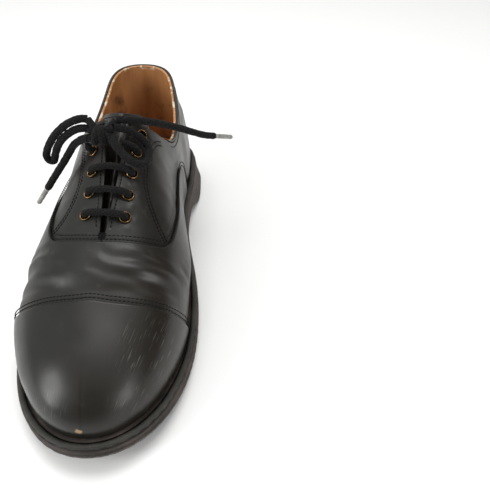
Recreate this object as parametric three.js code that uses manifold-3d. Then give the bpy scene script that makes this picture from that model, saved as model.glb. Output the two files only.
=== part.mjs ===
// A man's black leather cap-toe oxford, the right shoe of a pair, laced and tied.
// Millimetres, +Z up. The toe points along -Y, the medial (big toe) side is +X, and the
// origin is the middle of the sole's footprint on the ground.
//
// The upper follows one smooth surface, the last. A place on it is given by a station s,
// the distance forward of the heel's back edge, and a girth x, 0 on the ridge line and
// plus or minus HALF_WIDTH(s) where the upper meets the sole (the feather line).
import * as THREE from "three";
import { mergeVertices } from "three/addons/utils/BufferGeometryUtils.js";
import Module from "manifold-3d";

const wasm = await Module();
wasm.setup();

// ---------------------------------------------------------------- driving dimensions
const LENGTH = 300; // outsole, heel to toe
const HEEL_CENTRE = 38; // station where the heel's round end begins
const TOE_CENTRE = 205; // station where the toe's round end begins
const HEEL_POWER = 2.25; // superellipse exponents of the two round ends
const TOE_POWER = 2.07;

// Each is a smooth curve through [station, value] pairs.
const HALF_WIDTH = spline([[0, 37.5], [20, 39], [38, 40], [75, 40], [110, 41], [145, 46.6],
  [178, 53.5], [205, 55.5], [240, 55.5]]); // of the sole's edge
const CENTRE_X = spline([[0, 0], [38, 1], [75, 1], [115, -2], [150, -2.5], [190, -3.5],
  [230, -3.5], [270, -1.5], [300, 0.5]]); // sideways bow of the plan's centre line
const SHEAR = spline([[0, 0], [60, 0], [120, 0.03], [170, 0.08], [205, 0.1], [250, 0.05],
  [300, 0]]); // how far the medial side runs ahead of the lateral side
const FEATHER_Z = spline([[0, 26], [40, 25], [75, 24], [110, 22], [150, 17], [190, 13.5],
  [215, 13], [250, 14.5], [280, 18], [300, 21.5]]);
const RIDGE_Z = spline([[0, 211.5], [60, 189.5], [85, 157.5], [110, 132.5], [135, 116],
  [160, 99], [185, 83.5], [205, 72], [222, 65], [245, 58], [270, 54.5], [300, 49.5]]);
const SIDE_POWER = spline([[0, 1.15], [60, 1.25], [110, 1.2], [150, 1.1], [185, 0.95],
  [215, 0.8], [250, 0.76], [300, 0.74]]); // small is boxy, large is tent-like
const RISE_POWER = spline([[0, 0.85], [60, 0.85], [110, 0.95], [150, 1], [185, 1],
  [215, 0.95], [250, 0.85], [300, 0.8]]);
const BULGE = spline([[0, 3], [30, 2], [60, 2], [100, 4.5], [150, 4], [185, 3.2],
  [215, 2.6], [260, 1.4], [300, 1.6]]); // of the side walls over the feather line
const LATERAL_BULGE = spline([[0, 0], [170, 0], [200, 2.6], [225, 5.4], [250, 4.1], [300, 0.4]]);
const LEAN = spline([[0, 0], [80, 1], [120, 5], [160, 5], [200, 3], [250, 1], [300, 0]]);
const HEEL_PINCH = spline([[0, 0.2], [30, 0.2], [75, 0.07], [110, 0.02], [140, 0], [300, 0]]);
const FEATHER_INSET = spline([[0, 4.4], [40, 4.6], [90, 4.4], [130, 4.5], [180, 4.9], [220, 5.9],
  [260, 7], [300, 7.8]]); // from the sole's edge in to the upper
const TOPLINE_Z = spline([[0, 94.5], [20, 92.5], [45, 84.5], [72, 77.5], [90, 76], [108, 83.5],
  [118, 94.5]]);
const TOPLINE_END = 118; // station where the topline meets the facing's top corner

// Layers of the upper, as distances out from the last surface.
const LINING = [-4.3, -3.4];
const STIFFENER = [-2.4, -1.6];
const UNDER_LEATHER = -2.2;
const OVER_LEATHER = -0.1;
const OVER_COUNTER = -0.9;
const LEATHER = 1.3; // thickness
const TONGUE_TOP = -10.3; // of the tongue where the laces pass over it
const TONGUE_CROWN = 4.6; // rise of its middle in the slit
const TONGUE_BASE_TOP = -4.9; // and where it is stitched in under the vamp

// Seams on the last, as [girth, station]. Both sides share a list unless the lateral side,
// whose seams run further towards the toe, has one of its own.
const WING_SEAM = [[40.2, 84], [37, 89.5], [33, 97], [30.6, 110], [30.5, 131], [31, 156],
  [30.2, 180], [28.6, 188], [25, 194.5], [14, 200], [0, 202.5]];
const WING_SEAM_LATERAL = [[40.2, 84], [37, 89.5], [33, 97], [30.6, 110], [30, 131], [29.4, 156],
  [27.2, 180], [25.4, 190], [21.6, 197.6], [13, 201.6], [0, 202.5]];
const VAMP_RIM = [[40.4, 92], [40.7, 98], [41, 105], [42.4, 118], [45.2, 136], [49.4, 156],
  [55.2, 190], [55.5, 203], [54.6, 222], [32, 233.5], [0, 237]];
const VAMP_RIM_LATERAL = [...VAMP_RIM.slice(0, 8), [53.9, 229], [33, 236], [0, 237]];
const WING_UNDER = [[40.4, 93], [38.9, 101], [38, 112], [38.4, 131], [39, 156], [38.4, 182],
  [36.4, 192], [31, 202], [16, 209], [0.5, 211]];
const CAP_SEAM = [[54.9, 214.5], [48, 219], [38, 223], [24, 226.5], [10, 228.3], [0, 228.5]];
const CAP_SEAM_LATERAL = [[54.5, 222.5], [48, 224.6], [38, 226.6], [24, 228.2], [10, 228.8], [0, 228.5]];
const FACING_TOP = [[19.2, 118], [15, 124], [9.8, 129.5], [4.6, 133.5]];
const SLIT_END = 198; // station where the two facings meet
const FACING_END = 211;

const EYELETS = [[8.6, 187], [8.4, 174.2], [8.6, 161.3], [9.5, 148], [11.6, 134.4]];
const EYELET_FLANGE = 3.6; // radii and heights of one eyelet
const EYELET_BARREL = 2.9;
const EYELET_BORE = 2.6;
const EYELET_TOP = -0.6;
const EYELET_BOTTOM = -5.1;
const EYELET_LIP = 0.6;
const HOLE_RADIUS = 3.1;

const LACE_HELD = 4.3; // diameters of the lace, tight in the eyelets and loose outside
const LACE_FREE = 5;
const AGLET_LENGTH = 18;
const AGLET_RADIUS = 1.8;

const BEAD = [4, 4.4]; // width and height of the moulded bead round the sole's top edge
const PLATFORM_INSET = 4.6; // where the outsole rises to carry the upper
const HEEL_FLARE = 3.6; // how far the heel block stands out at the ground
const HEEL_BREAST = [64, 86]; // stations between which the heel's front rises
const ARCH_RISE = 7;
const ARCH_END = 160;
const TOE_SPRING_START = 215;
const TOE_SPRING = 11.5;
const STEP_DEPTH = 4.1; // of the sole's top edge below the feather line
const GAP = 0.3; // clearance between pieces that touch

// Plates inside the shoe, as heights of their two faces over the feather line.
const FILLER = [0, 1.9];
const INSOLE = [2.2, 4.4];
const SOCK = [4.7, 5.9];
const SHANK = [0.2, 1.5];
const SHANK_STATIONS = [48, 146];
const SHANK_WIDTH = 14;

// ---------------------------------------------------------------- curves and numbers
function spline(pairs) {
  const x = pairs.map((p) => p[0]);
  const y = pairs.map((p) => p[1]);
  const bend = naturalBends(x, y);
  return (at) => {
    const q = Math.min(Math.max(at, x[0]), x[x.length - 1]);
    let i = 0;
    while (i < x.length - 2 && q > x[i + 1]) i += 1;
    const h = x[i + 1] - x[i];
    const a = x[i + 1] - q;
    const b = q - x[i];
    const cubic = (bend[i] * a ** 3 + bend[i + 1] * b ** 3) / (6 * h);
    return cubic + (y[i] / h - (bend[i] * h) / 6) * a + (y[i + 1] / h - (bend[i + 1] * h) / 6) * b;
  };
}

// Second derivatives of the natural cubic spline, by elimination down and back up.
function naturalBends(x, y) {
  const n = x.length;
  const above = new Array(n).fill(0);
  const bend = new Array(n).fill(0);
  for (let i = 1; i < n - 1; i += 1) {
    const back = x[i] - x[i - 1];
    const ahead = x[i + 1] - x[i];
    const pivot = 2 * (back + ahead) - back * above[i - 1];
    const kink = 6 * ((y[i + 1] - y[i]) / ahead - (y[i] - y[i - 1]) / back);
    above[i] = ahead / pivot;
    bend[i] = (kink - back * bend[i - 1]) / pivot;
  }
  for (let i = n - 2; i > 0; i -= 1) bend[i] -= above[i] * bend[i + 1];
  return bend;
}

const clamp = (v, low, high) => Math.min(Math.max(v, low), high);
const lerp = (a, b, f) => a + (b - a) * f;
const ease = (v, from, to) => THREE.MathUtils.smoothstep(v, from, to);
const power = (v, p) => Math.max(v, 0) ** p;

// A smooth curve through [girth, station] points, as a function of 0..1.
function through(points) {
  const curve = new THREE.SplineCurve(points.map((p) => new THREE.Vector2(...p)));
  return (f) => curve.getPoint(clamp(f, 0, 1)).toArray();
}

// Curves one after another; each takes its share of 0..1.
function inTurn(...parts) {
  return (f) => {
    let start = 0;
    for (const [share, curve] of parts) {
      if (f <= start + share + 1e-9) return curve(clamp((f - start) / share, 0, 1));
      start += share;
    }
    return parts[parts.length - 1][1](1);
  };
}

const onSide = (side, curve) => (f) => {
  const [x, s] = curve(f);
  return [side * x, s];
};
const bothSides = (medial, lateral = medial) => {
  const mirrored = lateral.map(([x, s]) => [-x, s]);
  return through([...mirrored.slice(0, -1), ...[...medial].reverse()]);
};

// ---------------------------------------------------------------- the last surface
// The sole's outline: u runs 0 at the heel's back, 0.2 and 0.65 where the round ends
// begin, and 1 at the toe's tip.
function outline(u) {
  if (u < 0.2) {
    const turn = (u / 0.2) * (Math.PI / 2);
    const x = HALF_WIDTH(HEEL_CENTRE) * power(Math.sin(turn), 2 / HEEL_POWER);
    return [x, HEEL_CENTRE * (1 - power(Math.cos(turn), 2 / HEEL_POWER))];
  }
  if (u < 0.65) {
    const s = lerp(HEEL_CENTRE, TOE_CENTRE, (u - 0.2) / 0.45);
    return [HALF_WIDTH(s), s];
  }
  const turn = (Math.min((u - 0.65) / 0.35, 1) * Math.PI) / 2;
  const s = TOE_CENTRE + (LENGTH - TOE_CENTRE) * power(Math.sin(turn), 2 / TOE_POWER);
  return [HALF_WIDTH(TOE_CENTRE) * power(Math.cos(turn), 2 / TOE_POWER), s];
}

// The outline moved in by a distance, square to itself.
function insetOutline(u, inset) {
  const step = 1e-3;
  const [x, s] = outline(u);
  const before = outline(Math.abs(u - step));
  const after = outline(u + step > 1 ? 2 - u - step : u + step);
  if (u - step < 0) before[0] *= -1;
  if (u + step > 1) after[0] *= -1;
  const dx = after[0] - before[0];
  const ds = after[1] - before[1];
  const n = Math.hypot(dx, ds);
  return [x - (ds / n) * inset, s + (dx / n) * inset];
}

// Bow and shear of the plan, and the turn into the part's axes.
function place(x, s, z) {
  return new THREE.Vector3(x + CENTRE_X(s), LENGTH / 2 - s - SHEAR(s) * x, z);
}

const stationOf = (u) => outline(u)[1];
const paramOf = (s) => 0.2 + (0.45 * (s - HEEL_CENTRE)) / (TOE_CENTRE - HEEL_CENTRE);

// A point of the last: side -1 or 1, outline parameter u, and rise from 0 at the feather
// line to 90 degrees at the ridge.
function lastPoint(side, u, rise) {
  const so = stationOf(u);
  const [x, s] = insetOutline(u, FEATHER_INSET(so));
  const spine = clamp(s, HEEL_CENTRE, TOE_CENTRE);
  const angle = THREE.MathUtils.degToRad(rise);
  const reach = Math.hypot(x, s - spine) + 1e-9;
  const swell = Math.sin(clamp(3 * angle, 0, Math.PI)) * Math.exp(-1.2 * angle);
  const bulge = BULGE(so) + (side < 0 ? LATERAL_BULGE(so) : 0);
  const f = power(Math.cos(angle), SIDE_POWER(so)) + (bulge * swell) / reach;
  const station = spine + (s - spine) * f;
  const foot = FEATHER_Z(station);
  const z = foot + (RIDGE_Z(station) - foot) * power(Math.sin(angle), RISE_POWER(so));
  const pinch = HEEL_PINCH(so) * clamp((z - foot) / 64, 0, 2) ** 1.5;
  const point = place(side * x * f * (1 - pinch), station, z);
  point.x += LEAN(station) * Math.sin(angle) ** 2;
  return point;
}

// The same by girth and station. Rings of equal share lie round the spine.
function ringOf(x, s) {
  const beyond = Math.max(s - TOE_CENTRE, HEEL_CENTRE - s, 0);
  const toeward = s > TOE_CENTRE;
  const reach = toeward ? LENGTH - TOE_CENTRE : HEEL_CENTRE;
  const p = toeward ? TOE_POWER : HEEL_POWER;
  const half = HALF_WIDTH(clamp(s, HEEL_CENTRE, TOE_CENTRE));
  const ring = ((Math.abs(x) / half) ** p + (beyond / reach) ** p) ** (1 / p);
  if (!beyond) return { ring, u: paramOf(s) };
  const lean = clamp(beyond / reach / Math.max(ring, 1e-9), 0, 1);
  const turn = Math.asin(lean ** (p / 2)) / (Math.PI / 2);
  return { ring, u: toeward ? 0.65 + 0.35 * turn : 0.2 - 0.2 * turn };
}

function onLast(x, s) {
  const { ring, u } = ringOf(x, s);
  const rise = 90 * (1 - power(Math.min(ring, 1), 1 / SIDE_POWER(stationOf(u))));
  return lastPoint(x < 0 ? -1 : 1, u, rise);
}

// The outward normal, from neighbours kept inside the feather line.
function normalAt(x, s) {
  const { ring } = ringOf(x, s);
  const pull = ring > 0.97 ? 0.97 / ring : 1;
  const spine = clamp(s, HEEL_CENTRE, TOE_CENTRE);
  const [gx, gs] = [x * pull, spine + (s - spine) * pull];
  const e = 0.6;
  const across = onLast(gx + e, gs).sub(onLast(gx - e, gs));
  const along = onLast(gx, gs + e).sub(onLast(gx, gs - e));
  return along.cross(across).normalize();
}

// The point a distance out from the last.
function off(x, s, distance) {
  return onLast(x, s).addScaledVector(normalAt(x, s), distance);
}

// [girth, station] of the point at height z above outline parameter u.
function atHeight(side, u, z) {
  let low = 0;
  let high = 80;
  for (let i = 0; i < 30; i += 1) {
    const mid = (low + high) / 2;
    if (lastPoint(side, u, mid).z < z) low = mid;
    else high = mid;
  }
  const ring = (1 - low / 90) ** SIDE_POWER(stationOf(u));
  const [x, s] = outline(u);
  const spine = clamp(s, HEEL_CENTRE, TOE_CENTRE);
  return [side * x * ring, spine + (s - spine) * ring];
}

const featherLine = (side, from, to) => (f) => {
  const [x, s] = outline(lerp(from, to, f));
  return [side * x, s];
};
const topline = (side, from, to) => (f) => {
  const u = lerp(from, to, f);
  return atHeight(side, u, TOPLINE_Z(stationOf(u)));
};

// ---------------------------------------------------------------- solids
// A closed mesh from points and triangles, with doubled points merged and faces out.
function closed(points, triangles) {
  const raw = new THREE.BufferGeometry();
  const numbers = points.flatMap((p) => p.toArray());
  raw.setAttribute("position", new THREE.Float32BufferAttribute(numbers, 3));
  raw.setIndex(triangles.flat());
  const merged = mergeVertices(raw, 1e-3);
  const index = merged.index.array;
  const kept = [];
  for (let i = 0; i < index.length; i += 3) {
    const [a, b, c] = [index[i], index[i + 1], index[i + 2]];
    if (a !== b && b !== c && c !== a) kept.push(a, b, c);
  }
  merged.setIndex(kept);
  return volumeOf(merged) < 0 ? turnedOut(merged) : merged;
}

function volumeOf(geometry) {
  const p = geometry.attributes.position;
  const index = geometry.index.array;
  const [a, b, c] = [new THREE.Vector3(), new THREE.Vector3(), new THREE.Vector3()];
  let volume = 0;
  for (let i = 0; i < index.length; i += 3) {
    a.fromBufferAttribute(p, index[i]);
    b.fromBufferAttribute(p, index[i + 1]);
    c.fromBufferAttribute(p, index[i + 2]);
    volume += a.dot(b.cross(c)) / 6;
  }
  return volume;
}

function turnedOut(geometry) {
  const index = geometry.index.array;
  for (let i = 0; i < index.length; i += 3) [index[i], index[i + 1]] = [index[i + 1], index[i]];
  return geometry;
}

// Two triangles for the four corners of grid cell, by point numbers.
const quad = (a, b, c, d) => [[a, b, c], [a, c, d]];

// A sheet of leather between two curves on the last, given thickness: steps is
// [along, across], and low and high give the distances of its two faces.
function sheet(inner, outer, [along, across], low, high) {
  const points = [];
  for (const face of [low, high]) {
    for (let i = 0; i <= along; i += 1) {
      for (let j = 0; j <= across; j += 1) {
        const [x0, s0] = inner(i / along);
        const [x1, s1] = outer(i / along);
        const f = j / across;
        const [x, s] = [lerp(x0, x1, f), lerp(s0, s1, f)];
        points.push(off(x, s, face(x, s, f * Math.hypot(x1 - x0, s1 - s0))));
      }
    }
  }
  const row = across + 1;
  const top = (along + 1) * row;
  const at = (i, j) => i * row + j;
  const triangles = [];
  for (let i = 0; i < along; i += 1) {
    for (let j = 0; j < across; j += 1) {
      const cell = [at(i, j), at(i, j + 1), at(i + 1, j + 1), at(i + 1, j)];
      triangles.push(...quad(...cell), ...quad(...cell.map((n) => n + top).reverse()));
    }
    for (const [j, a, b] of [[0, i, i + 1], [across, i + 1, i]]) {
      triangles.push(...quad(at(a, j), at(b, j), at(b, j) + top, at(a, j) + top));
    }
  }
  for (let j = 0; j < across; j += 1) {
    for (const [i, a, b] of [[0, j + 1, j], [along, j, j + 1]]) {
      triangles.push(...quad(at(i, a), at(i, b), at(i, b) + top, at(i, a) + top));
    }
  }
  return closed(points, triangles);
}

const flat = (distance) => () => distance;

// A loft through rings that share the outline's stations, closed across each end.
function loft(rings, steps) {
  const points = [];
  const params = [];
  for (let i = 0; i <= steps; i += 1) params.push([1, i / steps]);
  for (let i = steps - 1; i > 0; i -= 1) params.push([-1, i / steps]);
  for (const ring of rings) for (const [side, f] of params) points.push(ring(side, f));
  const n = params.length;
  const triangles = [];
  for (let r = 0; r < rings.length - 1; r += 1) {
    for (let i = 0; i < n; i += 1) {
      const j = (i + 1) % n;
      triangles.push(...quad(r * n + i, r * n + j, (r + 1) * n + j, (r + 1) * n + i));
    }
  }
  const last = (rings.length - 1) * n;
  for (let i = 0; i < steps; i += 1) {
    const across = [i, i + 1, (n - i - 1) % n, (n - i) % n];
    triangles.push(...quad(...across).map((t) => [...t].reverse()));
    triangles.push(...quad(...across.map((k) => k + last)));
  }
  return closed(points, triangles);
}

// A closed bar of any section swept along frames; each section is a list of points.
function skin(sections) {
  const n = sections[0].length;
  const triangles = [];
  for (let i = 0; i < sections.length - 1; i += 1) {
    for (let j = 0; j < n; j += 1) {
      const k = (j + 1) % n;
      triangles.push(...quad(i * n + j, i * n + k, (i + 1) * n + k, (i + 1) * n + j));
    }
  }
  const last = (sections.length - 1) * n;
  for (let j = 1; j < n - 1; j += 1) triangles.push([0, j + 1, j], [last, last + j, last + j + 1]);
  return closed(sections.flat(), triangles);
}

// A round tube through points, with the section carried along without twist.
function tube(path, radius, sides) {
  const sections = [];
  let up = null;
  path.forEach((point, i) => {
    const ahead = path[Math.min(i + 1, path.length - 1)];
    const behind = path[Math.max(i - 1, 0)];
    const along = ahead.clone().sub(behind).normalize();
    if (!up) up = Math.abs(along.z) < 0.9 ? new THREE.Vector3(0, 0, 1) : new THREE.Vector3(1, 0, 0);
    up = up.clone().addScaledVector(along, -up.dot(along)).normalize();
    const side = along.clone().cross(up);
    sections.push(Array.from({ length: sides }, (_, k) => {
      const turn = (2 * Math.PI * k) / sides;
      const spoke = up.clone().multiplyScalar(Math.cos(turn)).addScaledVector(side, Math.sin(turn));
      return point.clone().addScaledVector(spoke, radius);
    }));
  });
  return skin(sections);
}

// A free cord: an eight-sided section extruded along a smooth curve.
function cord(points, diameter, steps) {
  const corners = Array.from({ length: 8 }, (_, k) => {
    const turn = (k * Math.PI) / 4;
    return new THREE.Vector2(Math.cos(turn), Math.sin(turn)).multiplyScalar(diameter / 2);
  });
  const places = points.map((p) => new THREE.Vector3(...p));
  const path = new THREE.CatmullRomCurve3(places, false, "centripetal");
  return plain(new THREE.ExtrudeGeometry(new THREE.Shape(corners), { extrudePath: path, steps }));
}

// Only positions kept, with shared corners merged.
function plain(geometry) {
  const bare = new THREE.BufferGeometry();
  bare.setAttribute("position", geometry.getAttribute("position"));
  if (geometry.index) bare.setIndex(geometry.index);
  return mergeVertices(bare, 1e-3);
}

function solidOf(geometry) {
  const merged = plain(geometry);
  return new wasm.Manifold(new wasm.Mesh({
    numProp: 3,
    vertProperties: new Float32Array(merged.attributes.position.array),
    triVerts: new Uint32Array(merged.index.array),
  }));
}

function geometryOf(solid) {
  const { vertProperties, triVerts } = solid.getMesh();
  const geometry = new THREE.BufferGeometry();
  geometry.setAttribute("position", new THREE.BufferAttribute(new Float32Array(vertProperties), 3));
  geometry.setIndex([...triVerts]);
  return geometry;
}

// ---------------------------------------------------------------- the shoe
const shoe = new THREE.Group();
shoe.name = "oxford_shoe";
const cords = new THREE.Group();
shoe.add(cords);

function add(name, geometry, finish, group = shoe) {
  const mesh = new THREE.Mesh(geometry, finish);
  mesh.name = name;
  group.add(mesh);
  return mesh;
}

const finish = (color, roughness, metalness = 0) =>
  new THREE.MeshStandardMaterial({ color, roughness, metalness });
const BLACK_LEATHER = finish(0x1c1b1b, 0.38);
const TAN_LINING = finish(0x9c6436, 0.62);
const TEXTILE = finish(0xb9a98e, 0.9);
const RUBBER = finish(0x2a2725, 0.75);
const BRASS = finish(0x8a6f45, 0.4, 1);
const LACE = finish(0x161517, 0.85);
const PLASTIC = finish(0x9a9792, 0.35);
const BOARD = finish(0xa58a64, 0.85);
const STEEL = finish(0x8c8f93, 0.35, 1);
const CORK = finish(0x8b6a48, 0.9);

// ---------------------------------------------------------------- sole
// Height of the sole's underside over the ground: flat heel and ball, arched waist,
// sprung toe.
function groundGap(s) {
  const [breast, crest] = HEEL_BREAST;
  if (s <= breast) return 0;
  if (s < crest) return ARCH_RISE * ease(s, breast, crest);
  if (s < ARCH_END) return ARCH_RISE * (1 - ease(s, crest, ARCH_END));
  if (s < TOE_SPRING_START) return 0;
  return TOE_SPRING * ((s - TOE_SPRING_START) / (LENGTH - TOE_SPRING_START)) ** 1.8;
}

const heelShare = (s) => 1 - ease(s, HEEL_BREAST[0] - 6, HEEL_BREAST[1] + 6);

// A ring of the sole: inset from the edge and height, each by station.
const soleRing = (inset, height) => (side, u) => {
  const [x, s] = insetOutline(u, inset(stationOf(u)));
  return place(side * x, s, height(s));
};

function outsole() {
  const step = (s) => FEATHER_Z(s) - STEP_DEPTH;
  return loft([
    soleRing((s) => 1.2 - HEEL_FLARE * heelShare(s), (s) => groundGap(s)),
    soleRing((s) => -HEEL_FLARE * heelShare(s), (s) => groundGap(s) + 1.4),
    soleRing((s) => 0.5 - 0.4 * HEEL_FLARE * heelShare(s), (s) => lerp(groundGap(s), step(s), 0.55)),
    soleRing(flat(0), (s) => step(s) - 1),
    soleRing(flat(0.8), step),
    soleRing(flat(PLATFORM_INSET - GAP), step),
    soleRing(flat(PLATFORM_INSET), (s) => FEATHER_Z(s) - GAP),
  ], 36);
}

// The bead round the sole's top edge, a closed ring that bears on the outsole's step.
function welt() {
  const sides = 5;
  const steps = 28;
  const params = [];
  for (let i = 0; i <= steps; i += 1) params.push([1, i / steps]);
  for (let i = steps - 1; i > 0; i -= 1) params.push([-1, i / steps]);
  const points = [];
  for (const [side, f] of params) {
    for (let k = 0; k < sides; k += 1) {
      const turn = (2 * Math.PI * (k + 0.5)) / sides;
      const inset = (BEAD[0] / 2) * (1 - Math.cos(turn)) + 0.1;
      const height = (BEAD[1] / 2) * (Math.sin(turn) + 0.96) - 3.8;
      points.push(soleRing(flat(inset), (s) => FEATHER_Z(s) + height)(side, f));
    }
  }
  const n = params.length;
  const triangles = [];
  for (let i = 0; i < n; i += 1) {
    for (let k = 0; k < sides; k += 1) {
      const [j, m] = [(i + 1) % n, (k + 1) % sides];
      triangles.push(...quad(i * sides + k, i * sides + m, j * sides + m, j * sides + k));
    }
  }
  return closed(points, triangles);
}

// A flat plate inside the shoe, between two outline parameters.
function plate(from, to, inset, faces, steps) {
  const points = [];
  for (const height of faces) {
    for (let i = 0; i <= steps; i += 1) {
      const u = lerp(from, to, i / steps);
      for (const side of [-1, 1]) {
        points.push(soleRing(inset, (s) => FEATHER_Z(s) + height)(side, u));
      }
    }
  }
  const top = 2 * (steps + 1);
  const triangles = [];
  for (let i = 0; i < steps; i += 1) {
    const cell = [2 * i, 2 * i + 1, 2 * i + 3, 2 * i + 2];
    triangles.push(...quad(...cell), ...quad(...cell.map((k) => k + top).reverse()));
    for (const [a, b] of [[2 * i, 2 * i + 2], [2 * i + 3, 2 * i + 1]]) {
      triangles.push(...quad(a, b, b + top, a + top));
    }
  }
  const far = 2 * steps;
  triangles.push(...quad(1, 0, top, top + 1), ...quad(far, far + 1, far + 1 + top, far + top));
  return closed(points, triangles);
}

const inside = (extra) => (s) => FEATHER_INSET(s) + extra;

add("outsole", outsole(), RUBBER);
add("welt_bead", welt(), RUBBER);
add("forepart_filler", plate(paramOf(150), 0.995, inside(5.4), FILLER, 14), CORK);
add("insole_board", plate(0.005, 0.995, inside(5.8), INSOLE, 26), BOARD);
add("sock_lining", plate(0.005, 0.995, inside(6.6), SOCK, 26), TAN_LINING);

function shank() {
  const [from, to] = SHANK_STATIONS;
  const [low, high] = SHANK;
  const steps = 10;
  const sections = [];
  for (let i = 0; i <= steps; i += 1) {
    const s = lerp(from, to, i / steps);
    const corner = (side, height) => place((side * SHANK_WIDTH) / 2, s, FEATHER_Z(s) + height);
    sections.push([corner(-1, low), corner(1, low), corner(1, high), corner(-1, high)]);
  }
  return skin(sections);
}
add("steel_shank", shank(), STEEL);

// ---------------------------------------------------------------- upper: forepart
const capRim = (start) => (f) => {
  const c = 2 * f - 1;
  const [x, s] = outline(1 - Math.abs(c) * (1 - start));
  return [Math.sign(c) * x, s];
};

add("toe_cap", sheet(bothSides(CAP_SEAM, CAP_SEAM_LATERAL), capRim(0.72), [26, 6],
  flat(OVER_LEATHER), flat(OVER_LEATHER + LEATHER)), BLACK_LEATHER);

const PUFF_EDGE = [[49, 240], [36, 242], [18, 243.5], [0, 244]];
add("toe_puff", sheet(bothSides(PUFF_EDGE), capRim(0.79), [16, 4],
  flat(STIFFENER[0]), flat(STIFFENER[1])), TEXTILE);

// The vamp lies over the quarters at its back seam and dips under the cap.
const vampLow = (x, s, fromSeam) => lerp(OVER_LEATHER, UNDER_LEATHER, ease(fromSeam, 13, 22));
const vampHigh = (x, s, fromSeam) => vampLow(x, s, fromSeam) + LEATHER;
add("vamp", sheet(bothSides(WING_SEAM, WING_SEAM_LATERAL), bothSides(VAMP_RIM, VAMP_RIM_LATERAL),
  [48, 7], vampLow, vampHigh), BLACK_LEATHER);

const LINING_REAR = [[43.3, 133], [32, 131], [28.6, 136], [29, 160], [28.6, 182], [24, 193],
  [12, 202], [0, 204.5]];
const LINING_RIM = [[45.2, 139], [47, 147], [49.5, 158], [53.5, 178], [55.5, 203]];
const liningRim = (() => {
  const side = (sign) => onSide(sign, through(LINING_RIM));
  const back = (f) => side(1)(1 - f);
  return inTurn([0.25, side(-1)], [0.5, capRim(0.65)], [0.25, back]);
})();
add("vamp_lining", sheet(bothSides(LINING_REAR), liningRim, [36, 5],
  flat(LINING[0]), flat(LINING[1])), TEXTILE);

// ---------------------------------------------------------------- upper: quarters
const facingEdge = (from, to) => (f) => {
  const s = lerp(from, to, f);
  if (s > SLIT_END) return [0.5, s];
  return [1.1 + 3.5 * ((SLIT_END - s) / (SLIT_END - FACING_TOP[3][1])) ** 1.1, s];
};

const BACK_GAP = 0.002; // of the outline parameter, either side of the back seam
const TOPLINE_PARAM = paramOf(TOPLINE_END);
const quarterTop = inTurn([0.42, topline(1, BACK_GAP, TOPLINE_PARAM)],
  [0.1, through(FACING_TOP)], [0.48, facingEdge(FACING_TOP[3][1], FACING_END)]);
const quarterFoot = inTurn([0.3, featherLine(1, BACK_GAP, paramOf(92))],
  [0.7, through(WING_UNDER)]);

// The quarter stands out over the heel counter.
function quarterLow(x, s) {
  const { u } = ringOf(x, s);
  const share = (1 - ease(u, 0.265, 0.305)) * (1 - ease(onLast(x, s).z, 67, 76));
  return lerp(UNDER_LEATHER, OVER_COUNTER, share);
}
const quarterHigh = (x, s) => quarterLow(x, s) + LEATHER;

// Cutters through both facing layers at every eyelet of one side.
function eyeletFrame(side, index) {
  const [x, s] = EYELETS[index];
  const middle = onLast(side * x, s);
  const axis = normalAt(side * x, s);
  const turn = new THREE.Quaternion().setFromUnitVectors(new THREE.Vector3(0, 1, 0), axis);
  return new THREE.Matrix4().compose(middle, turn, new THREE.Vector3(1, 1, 1));
}

function punched(geometry, side) {
  let solid = solidOf(geometry);
  EYELETS.forEach((_, index) => {
    const cutter = new THREE.CylinderGeometry(HOLE_RADIUS, HOLE_RADIUS, 14, 10);
    solid = solid.subtract(solidOf(cutter.applyMatrix4(eyeletFrame(side, index))));
  });
  return geometryOf(solid);
}

const STAY_OUTER = [[22.4, 118.5], [26.6, 128], [27.4, 140], [28, 160], [27.6, 182], [23, 192],
  [11, 201], [1.6, 203]];
const stayInner = inTurn([0.14, through(FACING_TOP)], [0.86, facingEdge(FACING_TOP[3][1], 203)]);

for (const [name, side] of [["medial", 1], ["lateral", -1]]) {
  const quarter = sheet(onSide(side, quarterTop), onSide(side, quarterFoot), [30, 6],
    quarterLow, quarterHigh);
  add("quarter_" + name, punched(quarter, side), BLACK_LEATHER);
  const stay = sheet(onSide(side, stayInner), onSide(side, through(STAY_OUTER)), [12, 3],
    flat(LINING[0]), flat(LINING[1]));
  add("facing_lining_" + name, punched(stay, side), TAN_LINING);
}

// One lining wraps the heel from facing to facing.
const roundHeel = (curve) => (f) => curve(f < 0.5 ? -1 : 1, Math.abs(2 * f - 1));
const liningTop = roundHeel((side, f) => {
  const behind = topline(side, 0, paramOf(116));
  return behind(f);
});
const liningFoot = roundHeel((side, f) => featherLine(side, 0, paramOf(131))(f));
add("quarter_lining", sheet(liningTop, liningFoot, [28, 4], flat(LINING[0]), flat(LINING[1])),
  TAN_LINING);

const counterTop = roundHeel((side, f) => atHeight(side, lerp(0, 0.25, f), 64 - 22 * f ** 3));
const counterFoot = roundHeel((side, f) => featherLine(side, 0, 0.26)(f));
add("heel_counter", sheet(counterTop, counterFoot, [18, 4],
  flat(STIFFENER[0]), flat(STIFFENER[1])), TEXTILE);

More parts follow.
